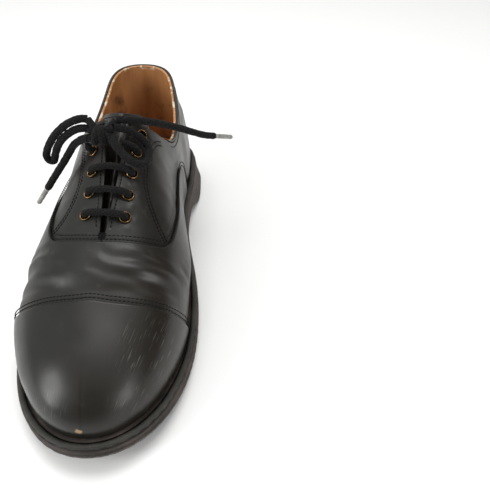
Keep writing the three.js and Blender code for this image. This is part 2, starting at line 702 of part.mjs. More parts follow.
// The rolled binding bridges the top edges of quarters and lining.
function binding() {
  const edge = [];
  const steps = 18;
  for (let i = -steps; i <= steps; i += 1) {
    const side = i < 0 ? -1 : 1;
    edge.push(topline(side, 0, TOPLINE_PARAM - 0.02)(Math.abs(i) / steps));
  }
  const sections = edge.map(([x, s]) => {
    const out = normalAt(x, s);
    const pull = 0.94;
    const spine = clamp(s, HEEL_CENTRE, TOE_CENTRE);
    const up = onLast(x * pull, spine + (s - spine) * pull).sub(onLast(x, s)).normalize();
    const root = onLast(x, s);
    const corner = (d, h) => root.clone().addScaledVector(out, d).addScaledVector(up, h);
    return [corner(-4.3, 1.2), corner(-0.9, 1.2), corner(-0.6, 1.8), corner(-1.5, 2.5),
      corner(-3.7, 2.5), corner(-4.6, 1.8)];
  });
  return skin(sections);
}
add("topline_binding", binding(), BLACK_LEATHER);

// ---------------------------------------------------------------- tongue
// It lies low under the eyelets and crowns up in the slit between the facings.
const TONGUE_LEATHER = 1.3;
const TONGUE_LINING = 0.9;
const TONGUE_FRONT = [13, 219]; // half width and station of its stitched end
const TONGUE_TIP = [[20.2, 116], [19.4, 108.5], [15.5, 110], [11, 117.5], [6, 123.6], [0, 126.6]];
const UNDER_TONGUE = 1.2; // gap down to its lining

function tongueTop(x, s) {
  const crown = lerp(-1.2, TONGUE_CROWN, ease(s, 127, 168));
  const low = TONGUE_TOP + crown * Math.exp(-((x / 2.8) ** 2));
  return lerp(low, TONGUE_BASE_TOP, ease(s, 191, 204));
}
const tongueTip = (trim) => (f) => {
  const [x, s] = bothSides(TONGUE_TIP)(f);
  return [x * (1 - trim / 20), s + trim];
};
const tongueFront = (trim) => (f) => [(2 * f - 1) * (TONGUE_FRONT[0] - trim), TONGUE_FRONT[1] - trim];
const tongueShift = (depth) => (x, s) => tongueTop(x, s) - depth;
const tongueSheet = (trim, top, thickness) => sheet(tongueTip(trim), tongueFront(trim), [12, 14],
  tongueShift(top + thickness), tongueShift(top));
add("tongue", tongueSheet(0, 0, TONGUE_LEATHER), BLACK_LEATHER);
add("tongue_lining", tongueSheet(0.5, TONGUE_LEATHER + UNDER_TONGUE, TONGUE_LINING), TEXTILE);

// ---------------------------------------------------------------- eyelets
function eyelet() {
  const profile = [
    [EYELET_BORE, EYELET_TOP + 0.5], [EYELET_BORE, EYELET_BOTTOM - 0.3],
    [EYELET_BARREL + 0.7, EYELET_BOTTOM - EYELET_LIP], [EYELET_BARREL + 0.7, EYELET_BOTTOM],
    [EYELET_BARREL, EYELET_BOTTOM], [EYELET_BARREL, EYELET_TOP],
    [EYELET_FLANGE, EYELET_TOP], [EYELET_FLANGE - 0.8, EYELET_TOP + 0.7],
    [EYELET_BORE, EYELET_TOP + 0.5],
  ].map(([r, h]) => new THREE.Vector2(r, h));
  const ring = plain(new THREE.LatheGeometry(profile, 10));
  return volumeOf(ring) < 0 ? turnedOut(ring) : ring;
}

for (const [name, side] of [["medial", 1], ["lateral", -1]]) {
  EYELETS.forEach((_, index) => {
    const mesh = add("eyelet_" + name + "_" + (index + 1), eyelet(), BRASS);
    mesh.applyMatrix4(eyeletFrame(side, index));
  });
}

// ---------------------------------------------------------------- laces
// The lacing the eyelets hold is one length: it comes down from the knot at the fourth
// medial eyelet, crosses outside at the second, first and third pairs, and goes back up
// to the knot at the fourth lateral eyelet. The fifth pair is left empty.
const BAR_HEIGHT = 2.3; // of its centre over the last outside, and under it inside
const RUN_DEPTH = -7.8;
const KNOT_PLACE = [-3.6, 146.5, 6.6];
const KNOT_SIZE = [7, 4.3, 5.8];

// A path with every corner rounded off.
function rounded(points, reach) {
  const path = [points[0]];
  for (let i = 1; i < points.length - 1; i += 1) {
    const corner = points[i];
    const start = cutBack(corner, points[i - 1], reach);
    const end = cutBack(corner, points[i + 1], reach);
    const bend = new THREE.QuadraticBezierCurve3(start, corner, end);
    path.push(...bend.getPoints(3));
  }
  path.push(points[points.length - 1]);
  return path;
}

function cutBack(corner, towards, reach) {
  const along = towards.clone().sub(corner).normalize();
  return corner.clone().addScaledVector(along, Math.min(reach, corner.distanceTo(towards) * 0.48));
}

function hole(side, number, goingIn) {
  const [x, s] = EYELETS[number - 1];
  const ends = [off(side * x, s, BAR_HEIGHT), off(side * x, s, RUN_DEPTH)];
  return goingIn ? ends : ends.reverse();
}

function bar(number, fromSide) {
  const s = EYELETS[number - 1][1];
  const places = [-4.6, 0, 4.6].map((x) => off(x, s, BAR_HEIGHT + 0.3));
  return fromSide < 0 ? places : places.reverse();
}

const run = (...places) => places.map(([x, s]) => off(x, s, RUN_DEPTH));

function lacing() {
  const route = [
    off(3.2, 148.4, 3.6), off(6.4, 148.4, 3.4), ...hole(1, 4, true), ...run([11.4, 161]),
    ...hole(1, 2, false), ...bar(2, 1), ...hole(-1, 2, true), ...run([-8.5, 180.6]),
    ...hole(-1, 1, false), ...bar(1, -1), ...hole(1, 1, true), ...run([5.2, 175]),
    ...hole(1, 3, false), ...bar(3, 1), ...hole(-1, 3, true), ...run([-9, 154.6]),
    ...hole(-1, 4, false), off(-9.6, 147.6, 3.4), off(-8.8, 146.6, 4.2),
  ];
  return tube(rounded(route, 3.2), LACE_HELD / 2, 6);
}
add("lacing", lacing(), LACE);

function knot() {
  const ball = new THREE.SphereGeometry(1, 12, 8);
  const [x, s, height] = KNOT_PLACE;
  const turn = new THREE.Quaternion().setFromUnitVectors(new THREE.Vector3(0, 1, 0), normalAt(x, s));
  const pose = new THREE.Matrix4().compose(off(x, s, height), turn, new THREE.Vector3(...KNOT_SIZE));
  return plain(ball.applyMatrix4(pose));
}
add("lace_knot", knot(), LACE);

// Free lace from the knot, as points in the part's own frame.
const LEFT_LOOP = [[-8.6, 5.8, 118.4], [-12.5, 5.2, 119], [-20.3, 5.5, 116], [-29.2, 6.7, 109],
  [-35.8, 8.4, 101], [-39.9, 9.6, 94], [-41, 9.5, 90], [-39.6, 9.3, 87.2], [-37, 9.2, 87.2],
  [-35.6, 9.1, 90.2], [-32, 8.3, 97.9], [-26, 6.3, 105.5], [-18.2, 4.8, 111.4],
  [-12.4, 3.9, 113.4], [-8.6, 3.4, 113.4]];
const RIGHT_LOOP = [[5.8, -4.4, 111.6], [9.4, -8.6, 108.6], [13.8, -12.4, 105], [18.4, -14.8, 102],
  [22.6, -14.6, 99.6], [26, -11, 98.4], [27.3, -4, 98.9], [26.3, 1.8, 101.8], [22.8, 3.6, 106.2],
  [17.5, 2.6, 111.6], [12.4, 1.4, 114.6], [7.6, 0.6, 115.8]];
const LEFT_END = [[-7.9, -1, 109.4], [-11.6, 0.6, 108.2], [-16.4, 3.2, 104.8], [-21.8, 7, 99],
  [-27.8, 9, 90.4], [-33.6, 10.6, 82.4], [-39, 12, 75.2], [-44.4, 13.2, 67.8], [-48.2, 14, 62.6]];
const RIGHT_END = [[8.6, 5.4, 118.2], [13.6, 7, 117.5], [19.9, 11.2, 114.6], [25.6, 16.6, 111],
  [31.6, 22.8, 106.4], [37.6, 29.2, 101.2], [43.6, 35.6, 95.8], [49.4, 41.4, 90.4],
  [54.8, 46.6, 85.6], [60, 51.6, 81.6], [64.5, 55.6, 79]];

add("lace_loop_left", cord(LEFT_LOOP, LACE_FREE, 34), LACE, cords);
add("lace_loop_right", cord(RIGHT_LOOP, LACE_FREE, 28), LACE, cords);
add("lace_end_left", cord(LEFT_END, LACE_FREE, 16), LACE, cords);
add("lace_end_right", cord(RIGHT_END, LACE_FREE, 18), LACE, cords);

// The aglet carries on in line with the lace's last stretch.
function aglet(route) {
  const [before, last] = route.slice(-2).map((p) => new THREE.Vector3(...p));
  const along = last.clone().sub(before).normalize();
  const start = last.clone().addScaledVector(along, 0.3);
  const body = new THREE.CylinderGeometry(AGLET_RADIUS, AGLET_RADIUS * 0.92, AGLET_LENGTH, 10);
  const turn = new THREE.Quaternion().setFromUnitVectors(new THREE.Vector3(0, -1, 0), along);
  const centre = start.addScaledVector(along, AGLET_LENGTH / 2);
  const pose = new THREE.Matrix4().compose(centre, turn, new THREE.Vector3(1, 1, 1));
  return plain(body.applyMatrix4(pose));
}
add("aglet_left", aglet(LEFT_END), PLASTIC, cords);
add("aglet_right", aglet(RIGHT_END), PLASTIC, cords);

// ---------------------------------------------------------------- origin
shoe.remove(cords);
const footprint = new THREE.Box3().setFromObject(shoe);
const middle = footprint.getCenter(new THREE.Vector3());
shoe.add(cords);
cords.position.set(middle.x, middle.y, footprint.min.z);
shoe.position.copy(cords.position).negate();

export default shoe;
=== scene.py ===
"""Looks of a black leather cap-toe oxford, laced and tied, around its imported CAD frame.

Lengths in this script are millimetres until a mesh is made, then metres. As in the CAD, the
upper follows one smooth surface, the last. A place on it is (x, s): s is the distance forward
of the heel's back edge and x runs from 0 on the ridge to plus or minus the half width at the
feather line, where the upper meets the sole.
"""
import math

import bmesh
import bpy
import numpy as np
from mathutils import Matrix, Vector
from mathutils.kdtree import KDTree


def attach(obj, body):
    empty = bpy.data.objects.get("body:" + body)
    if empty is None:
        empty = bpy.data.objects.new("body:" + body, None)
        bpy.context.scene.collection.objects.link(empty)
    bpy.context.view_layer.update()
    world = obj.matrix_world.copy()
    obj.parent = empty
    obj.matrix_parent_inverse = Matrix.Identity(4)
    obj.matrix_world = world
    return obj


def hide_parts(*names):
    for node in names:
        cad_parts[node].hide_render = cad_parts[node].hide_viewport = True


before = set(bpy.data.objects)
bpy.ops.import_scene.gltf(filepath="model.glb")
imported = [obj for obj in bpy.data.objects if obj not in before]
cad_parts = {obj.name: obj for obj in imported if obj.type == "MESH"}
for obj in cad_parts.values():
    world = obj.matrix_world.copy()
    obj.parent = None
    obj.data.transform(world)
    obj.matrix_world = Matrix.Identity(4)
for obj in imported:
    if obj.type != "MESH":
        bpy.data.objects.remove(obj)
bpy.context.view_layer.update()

MM = 0.001
UV_PER_MM = 0.01
SIDES = (("medial", 1), ("lateral", -1))


# ------------------------------------------------------------------ the last
def spline(pairs):
    """A natural cubic spline through [at, value] pairs."""
    x, y = np.array(pairs, float).T
    n, h = len(x), np.diff(x)
    a, r = np.eye(n), np.zeros(n)
    for i in range(1, n - 1):
        a[i, i - 1 : i + 2] = h[i - 1], 2 * (h[i - 1] + h[i]), h[i]
        r[i] = 6 * ((y[i + 1] - y[i]) / h[i] - (y[i] - y[i - 1]) / h[i - 1])
    bend = np.linalg.solve(a, r)

    def value(at):
        q = np.clip(np.asarray(at, float), x[0], x[-1])
        i = np.clip(np.searchsorted(x, q) - 1, 0, n - 2)
        a, b, w = x[i + 1] - q, q - x[i], h[i]
        cubic = (bend[i] * a**3 + bend[i + 1] * b**3) / (6 * w)
        return cubic + (y[i] / w - bend[i] * w / 6) * a + (y[i + 1] / w - bend[i + 1] * w / 6) * b

    return value


LENGTH, HEEL_CENTRE, TOE_CENTRE = 300.0, 38.0, 205.0
HEEL_POWER, TOE_POWER = 2.25, 2.07
HEEL_U, TOE_U = 0.2, 0.65  # outline parameters where the heel's round ends and the toe's starts
HALF_WIDTH = spline([[0, 37.5], [20, 39], [38, 40], [75, 40], [110, 41], [145, 46.6], [178, 53.5],
                     [205, 55.5], [240, 55.5]])
CENTRE_X = spline([[0, 0], [38, 1], [75, 1], [115, -2], [150, -2.5], [190, -3.5], [230, -3.5],
                   [270, -1.5], [300, 0.5]])
SHEAR = spline([[0, 0], [60, 0], [120, 0.03], [170, 0.08], [205, 0.1], [250, 0.05], [300, 0]])
FEATHER_Z = spline([[0, 26], [40, 25], [75, 24], [110, 22], [150, 17], [190, 13.5], [215, 13],
                    [250, 14.5], [280, 18], [300, 21.5]])
RIDGE_Z = spline([[0, 211.5], [60, 189.5], [85, 157.5], [110, 132.5], [135, 116], [160, 99],
                  [185, 83.5], [205, 72], [222, 65], [245, 58], [270, 54.5], [300, 49.5]])
SIDE_POWER = spline([[0, 1.15], [60, 1.25], [110, 1.2], [150, 1.1], [185, 0.95], [215, 0.8],
                     [250, 0.76], [300, 0.74]])
RISE_POWER = spline([[0, 0.85], [60, 0.85], [110, 0.95], [150, 1], [185, 1], [215, 0.95],
                     [250, 0.85], [300, 0.8]])
BULGE = spline([[0, 3], [30, 2], [60, 2], [100, 4.5], [150, 4], [185, 3.2], [215, 2.6],
                [260, 1.4], [300, 1.6]])
LATERAL_BULGE = spline([[0, 0], [170, 0], [200, 2.6], [225, 5.4], [250, 4.1], [300, 0.4]])
LEAN = spline([[0, 0], [80, 1], [120, 5], [160, 5], [200, 3], [250, 1], [300, 0]])
HEEL_PINCH = spline([[0, 0.2], [30, 0.2], [75, 0.07], [110, 0.02], [140, 0], [300, 0]])
FEATHER_INSET = spline([[0, 4.4], [40, 4.6], [90, 4.4], [130, 4.5], [180, 4.9], [220, 5.9],
                        [260, 7], [300, 7.8]])
TOPLINE_Z = spline([[0, 94.5], [20, 92.5], [45, 84.5], [72, 77.5], [90, 76], [108, 83.5],
                    [118, 94.5]])
ORIGIN = np.array([3.7046, -1.8, 0.0])  # the last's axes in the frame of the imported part

LAST_RING, NORMAL_STEP = 0.97, 0.6

# Layers of the upper, as distances out from the last.
LINING = (-4.3, -3.4)
UNDER_LEATHER, OVER_LEATHER, OVER_COUNTER, LEATHER = -2.2, -0.1, -0.9, 1.3


def smooth(v, low, high):
    """0 below low, 1 above high, eased in between."""
    t = np.clip((v - low) / (high - low), 0, 1)
    return t * t * (3 - 2 * t)


def mix(a, b, f):
    return a + (b - a) * f


def power(v, p):
    return np.maximum(v, 0) ** p


def outline(u):
    """The sole's edge: u is 0 at the heel's back and 1 at the toe's tip."""
    u = np.asarray(u, float)
    heel = np.clip(u / HEEL_U, 0, 1) * np.pi / 2
    toe = np.clip((u - TOE_U) / (1 - TOE_U), 0, 1) * np.pi / 2
    middle = mix(HEEL_CENTRE, TOE_CENTRE, np.clip((u - HEEL_U) / (TOE_U - HEEL_U), 0, 1))
    x_heel = HALF_WIDTH(HEEL_CENTRE) * power(np.sin(heel), 2 / HEEL_POWER)
    s_heel = HEEL_CENTRE * (1 - power(np.cos(heel), 2 / HEEL_POWER))
    x_toe = HALF_WIDTH(TOE_CENTRE) * power(np.cos(toe), 2 / TOE_POWER)
    s_toe = TOE_CENTRE + (LENGTH - TOE_CENTRE) * power(np.sin(toe), 2 / TOE_POWER)
    x = np.where(u < HEEL_U, x_heel, np.where(u < TOE_U, HALF_WIDTH(middle), x_toe))
    return x, np.where(u < HEEL_U, s_heel, np.where(u < TOE_U, middle, s_toe))


def inset_outline(u, inset):
    """The sole's edge moved inwards, square to itself."""
    step = 1e-3
    x, s = outline(u)
    x0, s0 = outline(np.abs(u - step))
    x1, s1 = outline(np.where(u + step > 1, 2 - u - step, u + step))
    x0 = np.where(u - step < 0, -x0, x0)
    x1 = np.where(u + step > 1, -x1, x1)
    n = np.hypot(x1 - x0, s1 - s0) + 1e-12
    return x - (s1 - s0) / n * inset, s + (x1 - x0) / n * inset


def place(x, s, z):
    """A point of the frame from its place beside the shoe's bent centre line."""
    x, s, z = np.broadcast_arrays(x, s, z)
    return np.stack([x + CENTRE_X(s), LENGTH / 2 - s - SHEAR(s) * x, z], -1) + ORIGIN


def station_of(u):
    return outline(u)[1]


def param_of(s):
    """The outline parameter at station s, between the heel's round and the toe's."""
    return HEEL_U + (TOE_U - HEEL_U) * (s - HEEL_CENTRE) / (TOE_CENTRE - HEEL_CENTRE)


def last_point(side, u, rise):
    """The last's surface: rise is 0 degrees at the feather line and 90 on the ridge."""
    side, u, rise = np.broadcast_arrays(side, u, rise)
    so = station_of(u)
    x, s = inset_outline(u, FEATHER_INSET(so))
    spine = np.clip(s, HEEL_CENTRE, TOE_CENTRE)
    angle = np.radians(rise)
    reach = np.hypot(x, s - spine) + 1e-9
    swell = np.sin(np.clip(3 * angle, 0, np.pi)) * np.exp(-1.2 * angle)
    bulge = BULGE(so) + np.where(side < 0, LATERAL_BULGE(so), 0)
    f = power(np.cos(angle), SIDE_POWER(so)) + bulge * swell / reach
    station = spine + (s - spine) * f
    foot = FEATHER_Z(station)
    z = foot + (RIDGE_Z(station) - foot) * power(np.sin(angle), RISE_POWER(so))
    pinch = HEEL_PINCH(so) * np.clip((z - foot) / 64, 0, 2) ** 1.5
    point = place(side * x * f * (1 - pinch), station, z)
    point[..., 0] += LEAN(station) * np.sin(angle) ** 2
    return point


def ring_of(x, s):
    """Which ring a place is on, from 0 on the ridge to 1 at the edge, and its parameter."""
    beyond = np.maximum(np.maximum(s - TOE_CENTRE, HEEL_CENTRE - s), 0)
    toeward = s > TOE_CENTRE
    reach = np.where(toeward, LENGTH - TOE_CENTRE, HEEL_CENTRE)
    p = np.where(toeward, TOE_POWER, HEEL_POWER)
    half = HALF_WIDTH(np.clip(s, HEEL_CENTRE, TOE_CENTRE))
    ring = ((np.abs(x) / half) ** p + (beyond / reach) ** p) ** (1 / p)
    turn = np.clip(beyond / reach / np.maximum(ring, 1e-9), 0, 1) ** (p / 2)
    turn = np.arcsin(turn) / (np.pi / 2)
    u = np.where(toeward, TOE_U + (1 - TOE_U) * turn, HEEL_U - HEEL_U * turn)
    return ring, np.where(beyond > 0, u, param_of(s))


def on_last(x, s):
    x, s = np.broadcast_arrays(np.asarray(x, float), np.asarray(s, float))
    ring, u = ring_of(x, s)
    rise = 90 * (1 - power(np.minimum(ring, 1), 1 / SIDE_POWER(station_of(u))))
    return last_point(np.where(x < 0, -1, 1), u, rise)


def normal_at(x, s):
    """The way out from the last, read just inside its edge where it would be undefined."""
    x, s = np.broadcast_arrays(np.asarray(x, float), np.asarray(s, float))
    ring, _ = ring_of(x, s)
    pull = np.where(ring > LAST_RING, LAST_RING / np.maximum(ring, 1e-9), 1)
    spine = np.clip(s, HEEL_CENTRE, TOE_CENTRE)
    gx, gs, e = x * pull, spine + (s - spine) * pull, NORMAL_STEP
    across = on_last(gx + e, gs) - on_last(gx - e, gs)
    along = on_last(gx, gs + e) - on_last(gx, gs - e)
    n = np.cross(along, across)
    return n / (np.linalg.norm(n, axis=-1, keepdims=True) + 1e-12)


def off(x, s, distance):
    """The point a distance out from the last."""
    return on_last(x, s) + normal_at(x, s) * np.asarray(distance, float)[..., None]


def at_height(side, u, z):
    """(x, s) of the point at height z above outline parameter u."""
    u = np.asarray(u, float)
    low, high = np.zeros_like(u), np.full_like(u, 80.0)
    for _ in range(30):
        mid = (low + high) / 2
        under = last_point(side, u, mid)[..., 2] < z
        low, high = np.where(under, mid, low), np.where(under, high, mid)
    ring = (1 - low / 90) ** SIDE_POWER(station_of(u))
    x, s = outline(u)
    spine = np.clip(s, HEEL_CENTRE, TOE_CENTRE)
    return side * x * ring, spine + (s - spine) * ring


# ------------------------------------------------------------------ curves on the last
def through(points):
    """A smooth curve through (x, s) points, as a function of 0..1."""
    p = np.array(points, float)
    n = len(p)

    def curve(f):
        at = np.clip(np.asarray(f, float), 0, 1) * (n - 1)
        i = np.minimum(at.astype(int), n - 2)
        t = (at - i)[..., None]
        a, b = p[np.maximum(i - 1, 0)], p[i]
        c, d = p[i + 1], p[np.minimum(i + 2, n - 1)]
        v0, v1 = (c - a) / 2, (d - b) / 2
        q = (2 * b - 2 * c + v0 + v1) * t**3 + (-3 * b + 3 * c - 2 * v0 - v1) * t**2 + v0 * t + b
        return q[..., 0], q[..., 1]

    return curve


def in_turn(*parts):
    """Curves one after another, each with its share of 0..1."""

    def curve(f):
        f = np.asarray(f, float)
        x, s, start = np.zeros_like(f), np.zeros_like(f), 0.0
        for share, part in parts:
            here = (f >= start - 1e-9) if start else (f >= -1)
            px, ps = part(np.clip((f - start) / share, 0, 1))
            x, s = np.where(here, px, x), np.where(here, ps, s)
            start += share
        return x, s

    return curve


def on_side(side, curve):
    def mirrored(f):
        x, s = curve(f)
        return side * x, s

    return mirrored


def both_sides(medial, lateral=None):
    """A curve from the lateral side over the ridge to the medial side."""
    mirrored = [[-x, s] for x, s in lateral or medial]
    return through(mirrored[:-1] + medial[::-1])


def feather(side, start, end):
    def curve(f):
        x, s = outline(mix(start, end, f))
        return side * x, s

    return curve


def topline(side, start, end, lift=0.0):
    def curve(f):
        u = mix(start, end, np.asarray(f, float))
        return at_height(side, u, TOPLINE_Z(station_of(u)) + lift)

    return curve


def round_heel(curve):
    """curve(side, f) from the lateral end, round the heel, to the medial end."""

    def whole(f):
        f = np.asarray(f, float)
        left, right = curve(-1, np.abs(2 * f - 1)), curve(1, np.abs(2 * f - 1))
        return np.where(f < 0.5, left[0], right[0]), np.where(f < 0.5, left[1], right[1])

    return whole


def cap_rim(start):
    """The edge round the toe, from start on one side to start on the other."""
    def curve(f):
        c = 2 * np.asarray(f, float) - 1
        x, s = outline(1 - np.abs(c) * (1 - start))
        return np.sign(c) * x, s

    return curve


WING_SEAM = [[40.2, 84], [37, 89.5], [33, 97], [30.6, 110], [30.5, 131], [31, 156], [30.2, 180],
             [28.6, 188], [25, 194.5], [14, 200], [0, 202.5]]
WING_SEAM_LATERAL = [[40.2, 84], [37, 89.5], [33, 97], [30.6, 110], [30, 131], [29.4, 156],
                     [27.2, 180], [25.4, 190], [21.6, 197.6], [13, 201.6], [0, 202.5]]
VAMP_RIM = [[40.4, 92], [40.7, 98], [41, 105], [42.4, 118], [45.2, 136], [49.4, 156], [55.2, 190],
            [55.5, 203], [54.6, 222], [32, 233.5], [0, 237]]
VAMP_RIM_LATERAL = [*VAMP_RIM[:8], [53.9, 229], [33, 236], [0, 237]]
WING_UNDER = [[40.4, 93], [38.9, 101], [38, 112], [38.4, 131], [39, 156], [38.4, 182],
              [36.4, 192], [31, 202], [16, 209], [0.5, 211]]
CAP_SEAM = [[54.9, 214.5], [48, 219], [38, 223], [24, 226.5], [10, 228.3], [0, 228.5]]
CAP_SEAM_LATERAL = [[54.5, 222.5], [48, 224.6], [38, 226.6], [24, 228.2], [10, 228.8],
                    [0, 228.5]]
FACING_TOP = [[19.2, 118], [15, 124], [9.8, 129.5], [4.6, 133.5]]
SLIT_END, FACING_END, TOPLINE_END = 198.0, 211.0, 118.0
EYELETS = [[8.6, 187], [8.4, 174.2], [8.6, 161.3], [9.5, 148], [11.6, 134.4]]
STAY_MEDIAL = [[20.4, 121.5], [17.8, 128.5], [15.6, 139], [14.4, 150], [14.6, 160], [16.4, 168],
               [19.6, 175], [23.6, 182], [28.4, 187.4]]
STAY_LATERAL = [[-20.2, 121.5], [-17.4, 128.5], [-15.6, 138], [-14.6, 150], [-14.2, 161],
                [-15, 170], [-17, 178], [-20.6, 185], [-26.6, 190.4]]


def facing_edge(start, end, trim=0.0):
    """The edge of the lacing slit, opening towards the top."""
    def curve(f):
        s = mix(start, end, np.asarray(f, float))
        open_x = 1.1 + 3.5 * power((SLIT_END - s) / (SLIT_END - FACING_TOP[3][1]), 1.1)
        return np.where(s > SLIT_END, 0.14, open_x) + trim, s

    return curve


# ------------------------------------------------------------------ meshes
SCENE = bpy.context.scene


def add_mesh(name, points, faces, look, body="shoe", replaces=(), uv=None):
    """A smooth-shaded mesh from millimetre points, riding on a body."""
    mesh = bpy.data.meshes.new(name)
    mesh.from_pydata((np.asarray(points) * MM).tolist(), [], [list(map(int, f)) for f in faces])
    mesh.validate()
    if uv is not None:
        layer = mesh.uv_layers.new(name="last")
        index = np.zeros(len(mesh.loops), int)
        mesh.loops.foreach_get("vertex_index", index)
        layer.data.foreach_set("uv", (np.asarray(uv)[index] * UV_PER_MM).ravel())
    work = bmesh.new()
    work.from_mesh(mesh)
    bmesh.ops.remove_doubles(work, verts=work.verts, dist=2e-6)
    bmesh.ops.dissolve_degenerate(work, edges=work.edges, dist=1e-7)
    if work.calc_volume(signed=True) < 0:
        bmesh.ops.reverse_faces(work, faces=work.faces)
    for face in work.faces:
        face.smooth = True
    work.to_mesh(mesh)
    work.free()
    mesh.materials.append(look)
    piece = bpy.data.objects.new(name, mesh)
    SCENE.collection.objects.link(piece)
    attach(piece, body)
    if replaces:
        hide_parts(*replaces)
    return piece


def grid_faces(rows, cols, start=0, flip=False):
    i, j = np.meshgrid(np.arange(rows - 1), np.arange(cols - 1), indexing="ij")
    a = (start + i * cols + j).ravel()
    quads = np.stack([a, a + 1, a + cols + 1, a + cols], -1)
    return quads[:, ::-1] if flip else quads


def slab(low, top):
    """Points and faces of a closed slab between two grids of points."""
    rows, cols = low.shape[:2]
    n = rows * cols
    number = np.arange(n).reshape(rows, cols)
    faces = [grid_faces(rows, cols), grid_faces(rows, cols, n, True)]
    for line in (number[:, 0], number[::-1, -1], number[0, ::-1], number[-1]):
        faces.append(np.stack([line[:-1], line[1:], line[1:] + n, line[:-1] + n], -1))
    return np.concatenate([low.reshape(-1, 3), top.reshape(-1, 3)]), np.concatenate(faces)


def hoops(count, n):
    """Faces between closed rings of n points, in order."""
    a = np.arange(n)
    b = (a + 1) % n
    return np.concatenate([np.stack([r * n + a, r * n + b, (r + 1) * n + b, (r + 1) * n + a], -1)
                           for r in range(count - 1)])


def tube_faces(rows, n):
    """Faces of a tube of closed rings with both ends capped."""
    a = np.arange(rows - 1) * n
    faces = []
    for j in range(n):
        k = (j + 1) % n
        faces.extend(np.stack([a + j, a + k, a + n + k, a + n + j], -1))
    return faces + [list(range(n - 1, -1, -1)), [(rows - 1) * n + j for j in range(n)]]


def columns(width, near, far, middle):
    """Shares of the way across: fixed distances in from both edges, even steps between."""
    near, far = np.array(near, float), np.array(far, float)
    squeeze = np.minimum(1, 0.92 * width / (near[-1] + far[-1] + 1e-6))[:, None]
    first = near[None] * squeeze / width[:, None]
    last = 1 - far[None, ::-1] * squeeze / width[:, None]
    steps = np.arange(1, middle)[None] / middle
    between = first[:, -1:] + (last[:, :1] - first[:, -1:]) * steps
    return np.hstack([first, between, last])


EDGE = [0, 0.06, 0.2, 0.42, 0.7]  # distances in from a rolled edge
ROLL_OVER, ROLL_UNDER, THINNEST = 0.9, 0.25, 0.12


def spread(start, end, step):
    return list(np.arange(start, end + step / 2, step))


def sheet(inner, outer, along, near, far, middle, low, high, relief=None, round_off=0.55):
    """A closed sheet of leather between two curves, with rolled edges: points, faces, (x, s)."""
    f = np.linspace(0, 1, along + 1)
    (x0, s0), (x1, s1) = inner(f), outer(f)
    width = np.maximum(np.hypot(x1 - x0, s1 - s0), 1e-3)
    share = columns(width, near, far, middle)
    x = x0[:, None] + (x1 - x0)[:, None] * share
    s = s0[:, None] + (s1 - s0)[:, None] * share
    from_inner = share * width[:, None]
    edge = np.minimum(from_inner, (1 - share) * width[:, None])
    edge = np.clip(edge / round_off, 0, 1)
    drop = round_off * (1 - np.sqrt(1 - (1 - edge) ** 2))
    top = high(x, s, from_inner) - drop * ROLL_OVER
    if relief is not None:
        top = top + relief(x, s)
    bottom = low(x, s, from_inner) + drop * ROLL_UNDER
    points, faces = slab(off(x, s, bottom), off(x, s, np.maximum(top, bottom + THINNEST)))
    uv = np.stack([x, s], -1).reshape(-1, 2)
    return points, faces, np.concatenate([uv, uv])


def panel(name, look, slot, node, *shape, body="shoe", **more):
    """A piece made as one sheet, in place of a node of the CAD."""
    points, faces, uv = sheet(*shape, **more)
    return add_mesh(name, points, faces, look, body, [node], uv)


def flat(distance):
    return lambda x, s, d: np.full_like(x, distance)


def tucked(low):
    """The underside pressed down on the layer below along the seam."""
    return lambda x, s, d: low(x, s, d) - 0.7 * (1 - smooth(d, 1, 4))


def metric(x, s):
    """How many millimetres one unit of x and one of s are, at (x, s)."""
    e = 0.5
    across = np.linalg.norm(on_last(x + e, s) - on_last(x - e, s), axis=-1)
    along = np.linalg.norm(on_last(x, s + e) - on_last(x, s - e), axis=-1)
    return across / (2 * e) + 1e-6, along / (2 * e) + 1e-6


def beside(curve, distance, steps=400, start=0.0, end=1.0):
    """A polyline beside a curve on the last, a distance to its left, in millimetres."""
    f = np.linspace(start, end, steps)
    x, s = curve(f)
    g, h = metric(x, s)
    tx, ts = np.gradient(x) * g, np.gradient(s) * h
    n = np.hypot(tx, ts) + 1e-9
    return x - ts / n * distance / g, s + tx / n * distance / h


def lengths_along(points):
    """How far along a polyline each of its points is."""
    return np.concatenate([[0], np.cumsum(np.linalg.norm(np.diff(points, axis=0), axis=1))])


def even(x, s, height, step):
    """Points, tangents and normals a step apart along a polyline; height may be a function."""
    rise = height if callable(height) else lambda x, s: np.full(len(x), float(height))
    length = lengths_along(off(x, s, rise(x, s)))
    count = max(int(length[-1] / step), 2)
    at = (np.arange(count) + 0.5) * length[-1] / count
    px, ps = np.interp(at, length, x), np.interp(at, length, s)
    points = off(px, ps, rise(px, ps))
    tangent = np.gradient(points, axis=0)
    tangent /= np.linalg.norm(tangent, axis=1, keepdims=True)
    return points, tangent, normal_at(px, ps)


def capsule(length, radius, sides=8):
    """One stitch: points of a rounded bar along X, and its faces."""
    rings = [(-0.5, 0.0), (-0.47, 0.5), (-0.36, 0.9), (0, 1.0), (0.36, 0.9), (0.47, 0.5), (0.5, 0)]
    turn = np.arange(sides) * 2 * np.pi / sides
    points = [[l * length, r * radius * math.cos(t), r * radius * math.sin(t)]
              for l, r in rings for t in turn]
    return np.array(points), hoops(len(rings), sides)


def stitch_row(rows, length, radius, lean=0.12):
    """Points and faces of the stitches along rows of (points, tangents, normals)."""
    base, cells = capsule(length, radius)
    points, faces, count = [], [], 0
    for p, t, n in rows:
        side = np.cross(n, t)
        side /= np.linalg.norm(side, axis=1, keepdims=True)
        along = t * math.cos(lean) + side * math.sin(lean)
        across = np.cross(n, along)
        axes = np.stack([along, across, n], 1)
        made = p[:, None] + np.einsum("vk,nkc->nvc", base, axes)
        points.append(made.reshape(-1, 3))
        for _ in p:
            faces.append(cells + count)
            count += len(base)
    return np.concatenate(points), np.concatenate(faces)


